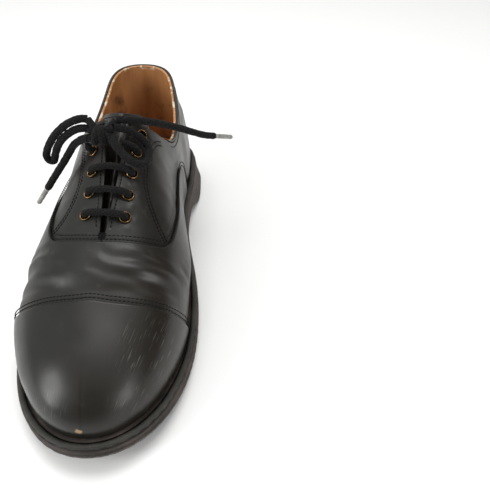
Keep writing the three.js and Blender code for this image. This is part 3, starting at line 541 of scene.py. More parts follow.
def tube_frames(path):
    """Directions along a path, and up and sideways with no twist between its points."""
    along = np.gradient(path, axis=0)
    along /= np.linalg.norm(along, axis=1, keepdims=True)
    up = np.array([0.0, 0, 1])
    ups = []
    for t in along:
        up = up - t * (up @ t)
        if np.linalg.norm(up) < 1e-6:
            up = np.cross(t, [1.0, 0, 0])
        up /= np.linalg.norm(up)
        ups.append(up)
    ups = np.array(ups)
    return along, ups, np.cross(along, ups)


def even_path(points, step):
    """Points a step apart along a polyline."""
    length = lengths_along(points)
    at = np.linspace(0, length[-1], int(length[-1] / step) + 1)
    return np.stack([np.interp(at, length, points[:, k]) for k in range(3)], -1)


def smooth_path(points, step):
    """Even points on a centripetal Catmull-Rom curve, as the CAD's cords are drawn."""
    p = np.array(points, float)
    p = np.vstack([2 * p[0] - p[1], p, 2 * p[-1] - p[-2]])
    fine = []
    for i in range(1, len(p) - 2):
        a, b, c, d = p[i - 1 : i + 3]
        t1, t2, t3 = (max(np.linalg.norm(v), 1e-6) ** 0.5 for v in (b - a, c - b, d - c))
        m1 = (b - a) / t1 - (c - a) / (t1 + t2) + (c - b) / t2
        m2 = (c - b) / t2 - (d - b) / (t2 + t3) + (d - c) / t3
        m1, m2 = m1 * t2, m2 * t2
        for t in np.linspace(0, 1, 24, endpoint=False):
            q = (2 * b - 2 * c + m1 + m2) * t**3 + (-3 * b + 3 * c - 2 * m1 - m2) * t**2
            fine.append(q + m1 * t + b)
    fine.append(p[-2])
    fine = np.array(fine)
    return even_path(fine, step), lengths_along(fine)[-1]


def braid(path, diameter, sides=32, strands=4, depth=0.17):
    """A round braided lace along even points: interlaced strands stand out of the tube."""
    _, up, side = tube_frames(path)
    turn = np.arange(sides) * 2 * np.pi / sides
    l, t = np.meshgrid(lengths_along(path), turn, indexing="ij")
    pitch = 2 * np.pi * diameter / 2 / strands * 1.25
    u = strands * t / (2 * np.pi) + l / pitch
    v = strands * t / (2 * np.pi) - l / pitch
    over = (np.floor(u) + np.floor(v)) % 2 < 0.5
    hump = lambda q: np.sqrt(np.clip(1 - (2 * (q % 1) - 1) ** 2, 0, 1))
    relief = np.where(over, hump(u), hump(v)) - 1
    wear = 0.02 * np.sin(l * 0.9 + 2 * np.sin(l * 0.23)) + 0.015 * np.sin(3 * t + l * 0.5)
    radius = diameter / 2 * (1 + depth * relief + wear - 0.03)
    points = (path[:, None] + up[:, None] * (radius * np.cos(t))[..., None]
              + side[:, None] * (radius * np.sin(t))[..., None])
    uv = np.stack([t * diameter / 2, l], -1).reshape(-1, 2)
    return points.reshape(-1, 3), tube_faces(len(path), sides), uv


def joined(parts):
    """Several (points, faces, uv) as one."""
    points, faces, uvs, count = [], [], [], 0
    for p, f, uv in parts:
        points.append(p)
        faces.extend([[int(k) + count for k in face] for face in f])
        uvs.append(uv)
        count += len(p)
    return np.concatenate(points), faces, np.concatenate(uvs)


# ------------------------------------------------------------------ materials
class Wiring:
    """Short ways to wire a node tree."""

    def __init__(self, tree):
        self.tree = tree

    def node(self, kind, inputs=None, **settings):
        node = self.tree.nodes.new("ShaderNode" + kind)
        for key, value in settings.items():
            setattr(node, key, value)
        for key, value in (inputs or {}).items():
            self.put(node.inputs[key], value)
        return node

    def put(self, socket, value):
        if isinstance(value, bpy.types.NodeSocket):
            self.tree.links.new(value, socket)
        else:
            socket.default_value = value

    def between(self, value, low, high, to_low=0.0, to_high=1.0):
        return self.node("MapRange", {"Value": value, "From Min": low, "From Max": high,
                                      "To Min": to_low, "To Max": to_high},
                         interpolation_type="SMOOTHSTEP").outputs[0]

    def maths(self, operation, a, b=0.0):
        return self.node("Math", {0: a, 1: b}, operation=operation).outputs[0]


class Look(Wiring):
    """A Principled material wired from procedural textures."""

    def __init__(self, name):
        self.material = bpy.data.materials.new(name)
        self.material.use_nodes = True
        super().__init__(self.material.node_tree)
        self.shader = self.tree.nodes["Principled BSDF"]

    def set(self, **values):
        for key, value in values.items():
            self.put(self.shader.inputs[key.replace("_", " ")], value)

    def coordinates(self, scale=(1, 1, 1), kind="Object", turn=0.0):
        source = self.node("TexCoord").outputs[kind]
        if turn:
            source = self.node("Mapping", {"Vector": source, "Rotation": (0, 0, turn)}).outputs[0]
        return self.node("Mapping", {"Vector": source, "Scale": scale}).outputs[0]

    def noise(self, vector, scale, detail=3.0, roughness=0.55, distortion=0.0):
        return self.node("TexNoise", {"Vector": vector, "Scale": scale, "Detail": detail,
                                      "Roughness": roughness, "Distortion": distortion}).outputs[0]

    def cells(self, vector, scale, feature="F1"):
        return self.node("TexVoronoi", {"Vector": vector, "Scale": scale},
                         feature=feature).outputs[0]

    def mixed(self, factor, a, b):
        node = self.node("Mix", data_type="RGBA")
        self.put(node.inputs["Factor"], factor)
        self.put(node.inputs[6], a)
        self.put(node.inputs[7], b)
        return node.outputs[2]

    def spots(self, places):
        """1 around each (x, s, reach) place on the last, falling to 0; needs the last's UVs."""
        at, most = self.coordinates(kind="UV"), 0.0
        for x, s, reach in places:
            away = self.node("VectorMath", {0: at, 1: (x * UV_PER_MM, s * UV_PER_MM, 0)},
                             operation="DISTANCE").outputs["Value"]
            near = self.between(away, 0.4 * reach * UV_PER_MM, reach * UV_PER_MM, 1.0, 0.0)
            most = self.maths("MAXIMUM", near, most)
        return most

    def bump(self, height, strength, distance, below=None):
        inputs = {"Height": height, "Strength": strength, "Distance": distance}
        if below is not None:
            inputs["Normal"] = below
        return self.node("Bump", inputs).outputs[0]


def rgb(red, green, blue):
    """A colour given as sRGB 0..255."""
    def linear(v):
        v /= 255
        return v / 12.92 if v < 0.04045 else ((v + 0.055) / 1.055) ** 2.4

    return (linear(red), linear(green), linear(blue), 1.0)


GRAIN, PORES = 1500, 2600  # texture scales of black leather, per metre
SCUFF_CORE, SCUFF_RIM = 0.0042, 0.0056  # metres from the scuff's middle


def leather_look(name, scratches=0.0, wear=0.0, creased=0.0, rough=0.36, scuff=None):
    """Polished black calf: fine grain, cloudy polish, and worn marks where it is asked for."""
    look = Look(name)
    at = look.coordinates()
    cloud = look.noise(at, 28, 4)
    tone = look.noise(at, 9, 2)
    base = look.mixed(look.between(tone, 0.35, 0.65), rgb(19, 20, 16), rgb(31, 27, 22))
    grain = look.cells(at, GRAIN, "DISTANCE_TO_EDGE")
    fine = look.noise(at, PORES, 3)
    roughness = look.between(cloud, 0.3, 0.7, rough - 0.06, rough + 0.09)
    if scratches:
        lines = look.noise(look.coordinates((230, 9, 1), "UV", -0.25), 1.0, 2, 0.5, 0.3)
        mark = look.maths("MULTIPLY", look.between(lines, 0.6, 0.72), look.spots(SCRATCHED))
        mark = look.maths("MULTIPLY", mark, scratches)
        base = look.mixed(mark, base, rgb(96, 97, 88))
        roughness = look.maths("ADD", roughness, look.maths("MULTIPLY", mark, 0.25))
    if scuff is not None:
        away = look.node("Mapping", {"Vector": at, "Location": tuple(-np.array(scuff) * MM)})
        away = look.node("VectorMath", {0: away.outputs[0]}, operation="LENGTH").outputs["Value"]
        torn = look.maths("ADD", away, look.maths("MULTIPLY", look.noise(at, 420, 4, 0.7), 0.007))
        torn = look.between(torn, SCUFF_CORE, SCUFF_RIM, 1.0, 0.0)
        base = look.mixed(torn, base, rgb(150, 122, 86))
    if wear:
        rub = look.maths("MULTIPLY", look.between(look.noise(at, 110, 5, 0.7), 0.6, 0.75), wear)
        base = look.mixed(rub, base, rgb(88, 78, 68))
    normal = look.bump(grain, 0.12, 0.00005)
    normal = look.bump(fine, 0.10, 0.00004, normal)
    if creased:
        lines = look.noise(look.coordinates((26, 150, 120)), 1.0, 4, 0.6, 0.6)
        normal = look.bump(lines, creased, 0.0006, normal)
    look.set(Base_Color=base, Roughness=roughness, Normal=normal, Specular_IOR_Level=0.36,
             Coat_Weight=0.08, Coat_Roughness=0.18)
    return look.material


def tan_look(name, chipped):
    """Vegetable-tan lining: streaky, darkened by wear, its finish chipped at the top edge."""
    look = Look(name)
    at = look.coordinates()
    streak = look.noise(look.coordinates((60, 60, 14)), 1.0, 4)
    base = look.mixed(look.between(streak, 0.3, 0.7), rgb(150, 100, 56), rgb(182, 130, 80))
    dirt = look.between(look.noise(at, 42, 5, 0.65), 0.52, 0.72)
    base = look.mixed(dirt, base, rgb(94, 64, 40))
    if chipped:
        flakes = look.between(look.noise(at, 150, 5, 0.7), 0.53, 0.58)
        share = look.node("Attribute", attribute_name="edge").outputs["Fac"]
        flakes = look.maths("MULTIPLY", flakes, look.between(share, 0.25, 0.8))
        base = look.mixed(flakes, base, rgb(212, 196, 168))
    normal = look.bump(look.noise(at, 1400, 4), 0.2, 0.00012)
    look.set(Base_Color=base, Roughness=look.between(streak, 0.2, 0.8, 0.5, 0.68), Normal=normal)
    return look.material


def cloth_look(name, light, dark, scale=1300):
    """A plain woven cloth."""
    look = Look(name)
    at = look.coordinates()
    threads = [look.node("TexWave", {"Vector": at, "Scale": scale / 3, "Distortion": 0.6},
                         bands_direction=way).outputs["Fac"] for way in "XY"]
    weave = look.maths("MAXIMUM", *threads)
    tone = look.noise(at, 60, 4)
    base = look.mixed(look.maths("MULTIPLY", weave, tone), dark, light)
    look.set(Base_Color=base, Roughness=look.between(tone, 0.3, 0.7, 0.82, 0.95),
             Normal=look.bump(weave, 0.4, 0.00015), Sheen_Weight=0.2)
    return look.material


def rubber_look(name, dark, light):
    """Moulded rubber, matte, clouded with dust and flecked with pale specks."""
    look = Look(name)
    at = look.coordinates()
    dust = look.noise(at, 55, 5, 0.65)
    base = look.mixed(look.between(dust, 0.35, 0.7), dark, light)
    specks = look.between(look.cells(at, 520), 0.05, 0.14, 1.0, 0.0)
    base = look.mixed(look.maths("MULTIPLY", specks, 0.35), base, rgb(150, 138, 124))
    normal = look.bump(look.noise(at, 900, 4, 0.6), 0.3, 0.0002)
    look.set(Base_Color=base, Roughness=look.between(dust, 0.3, 0.7, 0.55, 0.75), Normal=normal,
             Specular_IOR_Level=0.4)
    return look.material


def brass_look():
    """Brass dulled by tarnish in patches."""
    look = Look("aged_brass")
    at = look.coordinates()
    tarnish = look.between(look.noise(at, 700, 5, 0.65), 0.42, 0.66)
    base = look.mixed(tarnish, rgb(140, 108, 68), rgb(52, 40, 28))
    look.set(Base_Color=base, Metallic=1.0, Roughness=look.between(tarnish, 0, 1, 0.24, 0.5),
             Normal=look.bump(look.noise(at, 1500, 3), 0.15, 0.0001))
    return look.material


BRAID_SCALE, BRAID_TURN = 18, 0.67  # how close and how slanted a lace's strands are


def lace_look(name, light=rgb(27, 26, 25), dark=rgb(8, 8, 8)):
    """Black waxed cotton braid: fibres along each strand, a soft nap, and painted shade in the
    gaps between strands.
    """
    look = Look(name)
    at = look.coordinates()
    fibre = look.noise(at, 2300, 4, 0.7)
    nap = look.noise(at, 300, 3)
    base = look.mixed(look.between(fibre, 0.35, 0.75), dark, light)
    strands = [look.node("TexWave", {"Vector": look.coordinates(kind="UV", turn=turn),
                                     "Scale": BRAID_SCALE, "Distortion": 0.8}).outputs["Fac"]
               for turn in (BRAID_TURN, -BRAID_TURN)]
    strand = look.maths("MAXIMUM", *strands)
    # painted shade: the gaps between the braid's strands are darkened to near black
    base = look.mixed(look.between(strand, 0.35, 0.9), rgb(4, 4, 4), base)
    base = look.mixed(look.maths("MULTIPLY", look.between(nap, 0.5, 0.8), 0.3), base,
                      rgb(40, 38, 35))
    look.set(Base_Color=base, Roughness=look.between(nap, 0.3, 0.7, 0.78, 0.95),
             Normal=look.bump(strand, 0.6, 0.0004, look.bump(fibre, 0.5, 0.0003)),
             Specular_IOR_Level=0.2, Sheen_Weight=0.03, Sheen_Roughness=0.5)
    return look.material


def plain_look(name, light, dark, rough, scale, depth=0.2, metal=0.0):
    """A speckled plain material for board, cork, steel, plastic and the like."""
    look = Look(name)
    at = look.coordinates()
    grain = look.noise(at, scale, 5, 0.65)
    cloud = look.noise(at, scale / 9, 3)
    look.set(Base_Color=look.mixed(look.between(grain, 0.35, 0.65), dark, light), Metallic=metal,
             Roughness=look.between(cloud, 0.3, 0.7, rough - 0.08, rough + 0.08),
             Normal=look.bump(grain, depth, 0.0002))
    return look.material


SCRATCHED = [(32, 247, 24), (25, 274, 15), (-19, 277, 14)]  # on the toe cap
TOE_SCUFF = off(-2.0, 293.0, 1.2)
CAP_LEATHER = leather_look("cap_leather", 0.7, 0.12, rough=0.32, scuff=TOE_SCUFF)
VAMP_LEATHER = leather_look("vamp_leather", wear=0.2, creased=0.06, rough=0.4)
QUARTER_LEATHER = leather_look("quarter_leather", wear=0.22, creased=0.04, rough=0.38)
TONGUE_LEATHER = leather_look("tongue_leather", creased=0.3, rough=0.45)
TAN = tan_look("tan_lining_leather", False)
TAN_EDGE = tan_look("tan_lining_worn_edge", True)
TEXTILE = cloth_look("textile_lining", rgb(196, 184, 160), rgb(140, 128, 106))
STIFFENER = cloth_look("stiffener_cloth", rgb(206, 198, 180), rgb(160, 150, 128), 700)
RUBBER = rubber_look("moulded_rubber", rgb(46, 41, 38), rgb(80, 71, 65))
BEAD_RUBBER = rubber_look("bead_rubber", rgb(32, 32, 28), rgb(56, 54, 48))
BRASS = brass_look()
LACE = lace_look("lace_cotton")
THREAD = lace_look("sewing_thread", rgb(30, 29, 29), rgb(8, 8, 8))
AGLET = plain_look("aglet_plastic", rgb(160, 158, 154), rgb(112, 110, 107), 0.3, 500, 0.1)
BOARD = plain_look("insole_fibreboard", rgb(178, 150, 112), rgb(146, 120, 86), 0.85, 800)
CORK = plain_look("cork_filler", rgb(160, 120, 80), rgb(84, 56, 34), 0.88, 420, 0.5)
STEEL = plain_look("shank_steel", rgb(176, 178, 182), rgb(120, 122, 126), 0.35, 900, 0.1, 1.0)

# ------------------------------------------------------------------ camera and free laces
CAMERA_AT = (80.50, -271.75, 264.88)
CAMERA_AZIMUTH, CAMERA_ELEVATION, CAMERA_ROLL = -1.32, 41.77, 0.77
LENS, SENSOR = 37.106, 36


def make_camera():
    """The camera, turned by its azimuth round the shoe, its elevation and its roll."""
    data = bpy.data.cameras.new("camera")
    data.sensor_width = SENSOR
    data.lens = LENS
    data.clip_start = 0.01
    az, el, roll = (math.radians(v) for v in (CAMERA_AZIMUTH, CAMERA_ELEVATION, CAMERA_ROLL))
    back = Vector((math.sin(az) * math.cos(el), -math.cos(az) * math.cos(el), math.sin(el)))
    right = (-back).cross(Vector((0, 0, 1))).normalized()
    up = right.cross(-back)
    across = right * math.cos(roll) + up * math.sin(roll)
    upward = up * math.cos(roll) - right * math.sin(roll)
    camera = bpy.data.objects.new("camera", data)
    axes = Matrix((across, upward, back)).transposed().to_4x4()
    camera.matrix_world = Matrix.Translation(Vector(CAMERA_AT) * MM) @ axes
    SCENE.collection.objects.link(camera)
    SCENE.camera = camera


make_camera()

LACE_FREE, LACE_HELD = 5.0, 4.3
LEFT_LOOP = [[-8.6, 5.8, 118.4], [-12.5, 5.2, 119], [-20.3, 5.5, 116], [-29.2, 6.7, 109],
             [-35.8, 8.4, 101], [-39.9, 9.6, 94], [-41, 9.5, 90], [-39.6, 9.3, 87.2],
             [-37, 9.2, 87.2], [-35.6, 9.1, 90.2], [-32, 8.3, 97.9], [-26, 6.3, 105.5],
             [-18.2, 4.8, 111.4], [-12.4, 3.9, 113.4], [-8.6, 3.4, 113.4]]
RIGHT_LOOP = [[5.8, -4.4, 111.6], [9.4, -8.6, 108.6], [13.8, -12.4, 105], [18.4, -14.8, 102],
              [22.6, -14.6, 99.6], [26, -11, 98.4], [27.3, -4, 98.9], [26.3, 1.8, 101.8],
              [22.8, 3.6, 106.2], [17.5, 2.6, 111.6], [12.4, 1.4, 114.6], [7.6, 0.6, 115.8]]
LEFT_END = [[-7.9, -1, 109.4], [-11.6, 0.6, 108.2], [-16.4, 3.2, 104.8], [-21.8, 7, 99],
            [-27.8, 9, 90.4], [-33.6, 10.6, 82.4], [-39, 12, 75.2], [-44.4, 13.2, 67.8],
            [-48.2, 14, 62.6]]
RIGHT_END = [[8.6, 5.4, 118.2], [13.6, 7, 117.5], [19.9, 11.2, 114.6], [25.6, 16.6, 111],
             [31.6, 22.8, 106.4], [37.6, 29.2, 101.2], [43.6, 35.6, 95.8], [49.4, 41.4, 90.4],
             [54.8, 46.6, 85.6], [60, 51.6, 81.6], [64.5, 55.6, 79]]
AGLET_LENGTH, AGLET_RADIUS, AGLET_CRIMPS = 18.0, 1.8, (3, 14)
LACE_STEP = 0.4


def lathe(profile, frame_matrix, sides):
    """A surface of revolution about local Z from closed (radius, height) points."""
    turn = np.arange(sides) * 2 * np.pi / sides
    points = np.array([[r * math.cos(t), r * math.sin(t), h] for t in turn for r, h in profile])
    n = len(profile)
    faces = []
    for i in range(sides):
        for j in range(n):
            a, b = i * n, ((i + 1) % sides) * n
            k = (j + 1) % n
            faces.append([a + j, b + j, b + k, a + k])
    world = points @ frame_matrix[:3, :3].T + frame_matrix[:3, 3]
    return world, faces


def axes_at(point, out):
    """A 4x4 frame at a point with local Z along out."""
    out = out / np.linalg.norm(out)
    x = np.cross([0.0, 1, 0], out)
    x /= np.linalg.norm(x)
    made = np.eye(4)
    made[:3, 0], made[:3, 1], made[:3, 2], made[:3, 3] = x, np.cross(out, x), out, point
    return made


def aglet(name, route, node):
    """A crimped clear-grey tip, in line with the lace's last stretch."""
    before, last = np.array(route[-2], float), np.array(route[-1], float)
    along = (last - before) / np.linalg.norm(last - before)
    heights = np.linspace(0, AGLET_LENGTH, 25)
    rim = []
    for h in heights:
        crimp = sum(0.07 * math.exp(-((h - at) / 0.7) ** 2) for at in AGLET_CRIMPS)
        end = 1 - 0.25 * smooth(h, AGLET_LENGTH - 1, AGLET_LENGTH)
        rim.append((AGLET_RADIUS * (0.99 - 0.06 * h / AGLET_LENGTH - crimp) * end, h))
    profile = [(0.01, 0.0)] + rim + [(0.9, AGLET_LENGTH - 0.1), (0.9, AGLET_LENGTH - 2),
                                     (0.01, AGLET_LENGTH - 2)]
    points, faces = lathe(profile, axes_at(last + along * 0.3, along), 28)
    return add_mesh(name, points, faces, AGLET, replaces=[node])


def free_lace(name, route, node):
    """A loose stretch of the lace, from the knot to its far end."""
    path, length = smooth_path(route, 0.42)
    points, faces, uv = braid(path, LACE_FREE)
    piece = add_mesh(name, points, faces, LACE, replaces=[node], uv=uv)


tip_left = aglet("lace_tip_left", LEFT_END, "aglet_left")
tip_right = aglet("lace_tip_right", RIGHT_END, "aglet_right")
free_lace("braided_loop_left", LEFT_LOOP, "lace_loop_left")
free_lace("braided_loop_right", RIGHT_LOOP, "lace_loop_right")
free_lace("braided_end_left", LEFT_END, "lace_end_left")
free_lace("braided_end_right", RIGHT_END, "lace_end_right")

# ------------------------------------------------------------------ sole
HEEL_FLARE, HEEL_BREAST = 3.6, (64, 86)
ARCH_RISE, ARCH_END = 7.0, 160
TOE_SPRING_START, TOE_SPRING = 215, 11.5
STEP_DEPTH = 3.6  # of the step under the bead, below the feather line
LUG_DEPTH, LUG_PITCH = 0.12, 7.5
WALL_RINGS, WALL_RIBS, RIB_DEPTH = 46, 5, 0.28
TREAD_DEPTH, TREAD_PITCH, TREAD_COLUMNS = 1.3, 8.5, 41
BEAD_WIDE, BEAD_TALL, BEAD_INSET, BEAD_HEIGHT = 1.7, 1.65, 2.6, -1.8
SOCK_INSET, SOCK_LOW, SOCK_TOP = 6.6, 4.72, 5.88


def ground_gap(s):
    """How far the sole stands off the ground: under the waist and at the toe."""
    breast, crest = HEEL_BREAST
    rise = ARCH_RISE * smooth(s, breast, crest)
    fall = ARCH_RISE * (1 - smooth(s, crest, ARCH_END))
    toe = TOE_SPRING * power((s - TOE_SPRING_START) / (LENGTH - TOE_SPRING_START), 1.8)
    gap = np.where(s < crest, rise, np.where(s < ARCH_END, fall, 0))
    return np.where(s > TOE_SPRING_START, toe, gap)


def heel_share(s):
    """1 under the heel, 0 ahead of it."""
    return 1 - smooth(s, HEEL_BREAST[0] - 6, HEEL_BREAST[1] + 6)


def around(steps):
    """Sides and outline parameters once round the sole, starting at the heel."""
    f = np.linspace(0, 1, steps + 1)
    f = mix(f, 0.5 - 0.5 * np.cos(np.pi * f), 0.35)
    side = np.concatenate([np.ones(steps + 1), -np.ones(steps - 1)])
    return side, np.concatenate([f, f[-2:0:-1]])


def sole_ring(side, u, inset, height):
    x, s = inset_outline(u, inset(station_of(u)) if callable(inset) else inset)
    return place(side * x, s, height(s))


def edge_length(u, steps):
    """Distance along the sole's edge from the heel, the same on both sides."""
    x, s = outline(u[: steps + 1])
    length = np.concatenate([[0], np.cumsum(np.hypot(np.diff(x), np.diff(s)))])
    return np.concatenate([length, length[-2:0:-1]])


def tread_height(cover):
    """Depth of the grooves cut up into the underside, none at the rim."""
    x, y = cover[..., 0], cover[..., 1]
    s = LENGTH / 2 - y + ORIGIN[1]
    wave = np.sin((s + 5 * np.abs(np.sin(x / 9.0))) * 2 * np.pi / TREAD_PITCH)
    rim = np.linspace(0, 1, cover.shape[1])[None]
    inner = smooth(np.minimum(rim, 1 - rim), 0.05, 0.075)
    used = 1 - smooth(s, 72, 84) * (1 - smooth(s, 152, 165))
    ends = smooth(s, 6, 10) * (1 - smooth(s, 288, 293))
    return TREAD_DEPTH * smooth(wave, 0.35, 0.75) * inner * used * ends


def make_outsole():
    """A ribbed wall between the notched tread and the platform under the upper."""
    steps = 460
    side, u = around(steps)
    so = station_of(u)
    flare = HEEL_FLARE * heel_share(so)
    waist = smooth(so, 70, 80) * (1 - smooth(so, 150, 162))
    notch = smooth(np.sin(edge_length(u, steps) * 2 * np.pi / LUG_PITCH), 0.15, 0.5)
    lug = LUG_DEPTH * notch * (1 - waist)
    rings = []
    for inset, share, up in ((1.3, 0.8, 0), (0.45, 1, 0.4), (0.1, 1, 1.2), (0.05, 0.9, 2.3)):
        rings.append(sole_ring(side, u, inset - flare + share * lug,
                               lambda s, up=up: ground_gap(s) + up))
    middle = 0.5 - 0.4 * HEEL_FLARE * heel_share(so)
    for i in range(WALL_RINGS + 1):
        f = i / WALL_RINGS
        body = np.where(f < 0.5, mix(0.06 - flare, middle, f * 2), mix(middle, 0.05, f * 2 - 1))
        rib = RIB_DEPTH * (0.5 - 0.5 * math.cos(2 * math.pi * WALL_RIBS * f)) ** 2
        rings.append(sole_ring(side, u, body + rib, lambda s, f=f: mix(
            ground_gap(s) + 2.7, FEATHER_Z(s) - STEP_DEPTH - 1.0, f)))
    for inset, down in ((0.45, STEP_DEPTH + 0.5), (1.2, STEP_DEPTH), (4.1, STEP_DEPTH),
                        (4.6, 0.4)):
        rings.append(sole_ring(side, u, inset, lambda s, down=down: FEATHER_Z(s) - down))
    points, faces, count = [*rings], [*hoops(len(rings), len(u))], len(rings) * len(u)
    across = np.linspace(0, 1, TREAD_COLUMNS)[None, :, None]
    for ring, is_top in ((rings[0], False), (rings[-1], True)):
        left = np.concatenate([ring[:1], ring[:steps:-1], ring[steps : steps + 1]])
        cover = ring[: steps + 1, None] * (1 - across) + left[:, None] * across
        if not is_top:
            cover[..., 2] += tread_height(cover)
        points.append(cover.reshape(-1, 3))
        faces += [*grid_faces(steps + 1, TREAD_COLUMNS, count, not is_top)]
        count += len(points[-1])
    add_mesh("moulded_outsole", np.concatenate(points), faces, RUBBER,
             replaces=["outsole"])


def squarish(v, p):
    """A sine or cosine swelled or squared off."""
    return math.copysign(abs(v) ** p, v)


def make_welt():
    """The moulded bead round the top of the sole."""
    steps, count = 420, 22
    side, u = around(steps)
    edge = edge_length(u, steps)
    rings = []
    for k in range(count + 1):
        turn = 2 * math.pi * k / count
        shape = 1.0 if math.sin(turn) < 0 else 0.94
        inset = BEAD_INSET - BEAD_WIDE * squarish(math.cos(turn), 0.8) * shape
        height = BEAD_TALL * squarish(math.sin(turn), 0.85) + BEAD_HEIGHT
        wobble = 0.06 * np.sin(edge * 0.31) + 0.05 * np.sin(edge * 0.83 + k)
        rings.append(sole_ring(side, u, inset + wobble, lambda s, h=height: FEATHER_Z(s) + h))
    add_mesh("moulded_welt_bead", np.concatenate(rings), hoops(len(rings), len(u)), BEAD_RUBBER,
             replaces=["welt_bead"])


def make_sock():
    """The tan sock over the insole, a little dished where the foot stands."""
    along, across = 260, 36
    u = np.linspace(0.006, 0.994, along + 1)
    x, s = inset_outline(u, FEATHER_INSET(station_of(u)) + SOCK_INSET)
    f = np.linspace(-1, 1, across + 1)
    lip = 0.35 * (1 - np.sqrt(np.clip(1 - np.clip((np.abs(f) - 0.97) / 0.03, 0, 1) ** 2, 0, 1)))
    gx = x[:, None] * f[None]
    gs = np.broadcast_to(s[:, None], gx.shape)
    dish = 0.25 * np.exp(-(gx / 17) ** 2) * (smooth(gs, 15, 40) - smooth(gs, 62, 90))
    top = FEATHER_Z(gs) + SOCK_TOP - dish - lip[None]
    points, faces = slab(place(gx, gs, FEATHER_Z(gs) + SOCK_LOW), place(gx, gs, top))
    add_mesh("sock_leather", points, faces, TAN, replaces=["sock_lining"])


make_outsole()
make_welt()
make_sock()


# ------------------------------------------------------------------ stitch rows and relief
FURROW_DEPTH, FURROW_WIDTH = 0.2, 0.55
CAP_ROWS, VAMP_ROWS, EDGE_ROW, STAY_ROWS = (-1.3, -3.5), (-1.3, -3.7), 2.6, (1.2, -1.2)
OVER_STITCH = 1.12  # height of the stitches in the cap and the vamp
PITCH, STITCH_LENGTH, STITCH_RADIUS = 2.3, 2.3 * 0.8, 0.34


def search_tree(points):
    """A tree that finds the nearest of some points."""
    tree = KDTree(len(points))
    for i, p in enumerate(points):
        tree.insert(Vector(p), i)
    tree.balance()
    return tree


def tree_of(rows):
    """A search tree of the middle lines of stitch rows."""
    return search_tree(np.concatenate([p for p, _, _ in rows]))


def distances_to(tree, points):
    return np.array([tree.find(Vector(p))[2] for p in points])


def groove(tree, x, s):
    """A furrow under stitch rows."""
    gap = distances_to(tree, on_last(x, s).reshape(-1, 3)).reshape(x.shape)
    return -FURROW_DEPTH * np.exp(-((gap / FURROW_WIDTH) ** 2))


def valley(x, s, line, depth, width, shoulder=0.6):
    """A flex crease along a line of (x, s) points, with a soft ridge on either side."""
    line = np.array(line, float)
    f = np.clip((x - line[0, 0]) / (line[-1, 0] - line[0, 0]), 0, 1)
    order = np.argsort(line[:, 0])
    centre = np.interp(x, line[order, 0], line[order, 1])
    fade = np.sin(np.pi * np.clip(f, 0.02, 0.98)) ** 0.5
    inside = (f > 0) & (f < 1)
    away = (s - centre) / width
    shape = -np.exp(-(away**2)) + shoulder * np.exp(-((np.abs(away) - 1.9) ** 2) / 1.2)
    return np.where(inside, depth * shape * fade, 0)


def seam_rows(curve, distances, height, start, end, steps=500):
    """Stitches beside a curve at some distances, and the fine lines they lie on."""
    rows, lines = [], []
    for d in distances:
        x, s = beside(curve, d, steps, start, end)
        rows.append(even(x, s, height, PITCH))
        lines.append(even(x, s, 0.0, 0.4))
    return rows, lines


def sew(name, rows, body="shoe"):
    points, faces = stitch_row(rows, STITCH_LENGTH, STITCH_RADIUS)
    add_mesh(name, points, faces, THREAD, body=body)


# ------------------------------------------------------------------ toe cap
def soft_noise(x, s, seed, size):
    """Smooth repeatable unevenness of about +-1, from a few waves."""
    rng = np.random.default_rng(seed)
    total = np.zeros_like(x)
    for _ in range(7):
        angle, phase = rng.uniform(0, math.pi), rng.uniform(0, 6.28)
        wave = rng.uniform(0.7, 1.6) * 2 * math.pi / size
        total += np.sin((x * math.cos(angle) + s * math.sin(angle)) * wave + phase)
    return total / 3.5


cap_curve = both_sides(CAP_SEAM, CAP_SEAM_LATERAL)
cap_rows, cap_lines = seam_rows(cap_curve, CAP_ROWS, OVER_STITCH, 0.02, 0.98)
cap_tree = tree_of(cap_lines)


def cap_relief(x, s):
    """The stitch furrows, and one shallow dent behind the toe."""
    made = groove(cap_tree, x, s)
    made += 0.14 * soft_noise(x, s, 3, 34) * smooth(s, 232, 246)
    dent = np.exp(-(((x + 12) / 15) ** 2) - ((s - 247) / 8) ** 2)
    return made - 0.45 * dent


panel("toe_cap_leather", CAP_LEATHER, "black_leather", "toe_cap", cap_curve, cap_rim(0.72), 240,
      EDGE + spread(0.95, 5, 0.3), [0, 0.3, 0.8], 46, tucked(flat(OVER_LEATHER)),
      flat(OVER_LEATHER + LEATHER), cap_relief)
sew("toe_cap_stitching", cap_rows)

# ------------------------------------------------------------------ vamp
CREASES = [  # across the ball: (x, s) points, depth, width
    ([[1, 208], [7, 209.5], [13, 208.8], [20.5, 207], [28, 205.2], [40, 202.5]], 0.55, 2.2),
    ([[-4, 214.5], [4, 215.6], [13.5, 215.8], [22.5, 215.2], [30, 213.6], [41, 211.5]], 0.7, 2.4),
    ([[-46, 208.5], [-37, 207.6], [-30, 208.6], [-22, 212], [-13, 214.6]], 0.7, 2.4),
    ([[-45, 198], [-38, 197.4], [-30, 199], [-24, 202.4]], 0.5, 2.2),
    ([[-50, 215], [-40, 215.5], [-30, 218.2], [-18, 220.6]], 0.35, 2.0),
    ([[8, 221], [20, 221.4], [30, 219.6], [44, 215]], 0.35, 2.0),
    ([[-52, 191], [-44, 190], [-38, 191.5], [-33, 194]], 0.35, 2.2),
    ([[36, 194], [42, 193], [50, 189]], 0.35, 2.2),
]

vamp_curve = both_sides(WING_SEAM, WING_SEAM_LATERAL)
vamp_rows, vamp_lines = seam_rows(vamp_curve, VAMP_ROWS, OVER_STITCH, 0.004, 0.996, 900)
vamp_tree = tree_of(vamp_lines)


def vamp_low(x, s, from_seam):
    return mix(OVER_LEATHER, UNDER_LEATHER, smooth(from_seam, 13, 22))


def vamp_high(x, s, from_seam):
    return vamp_low(x, s, from_seam) + LEATHER


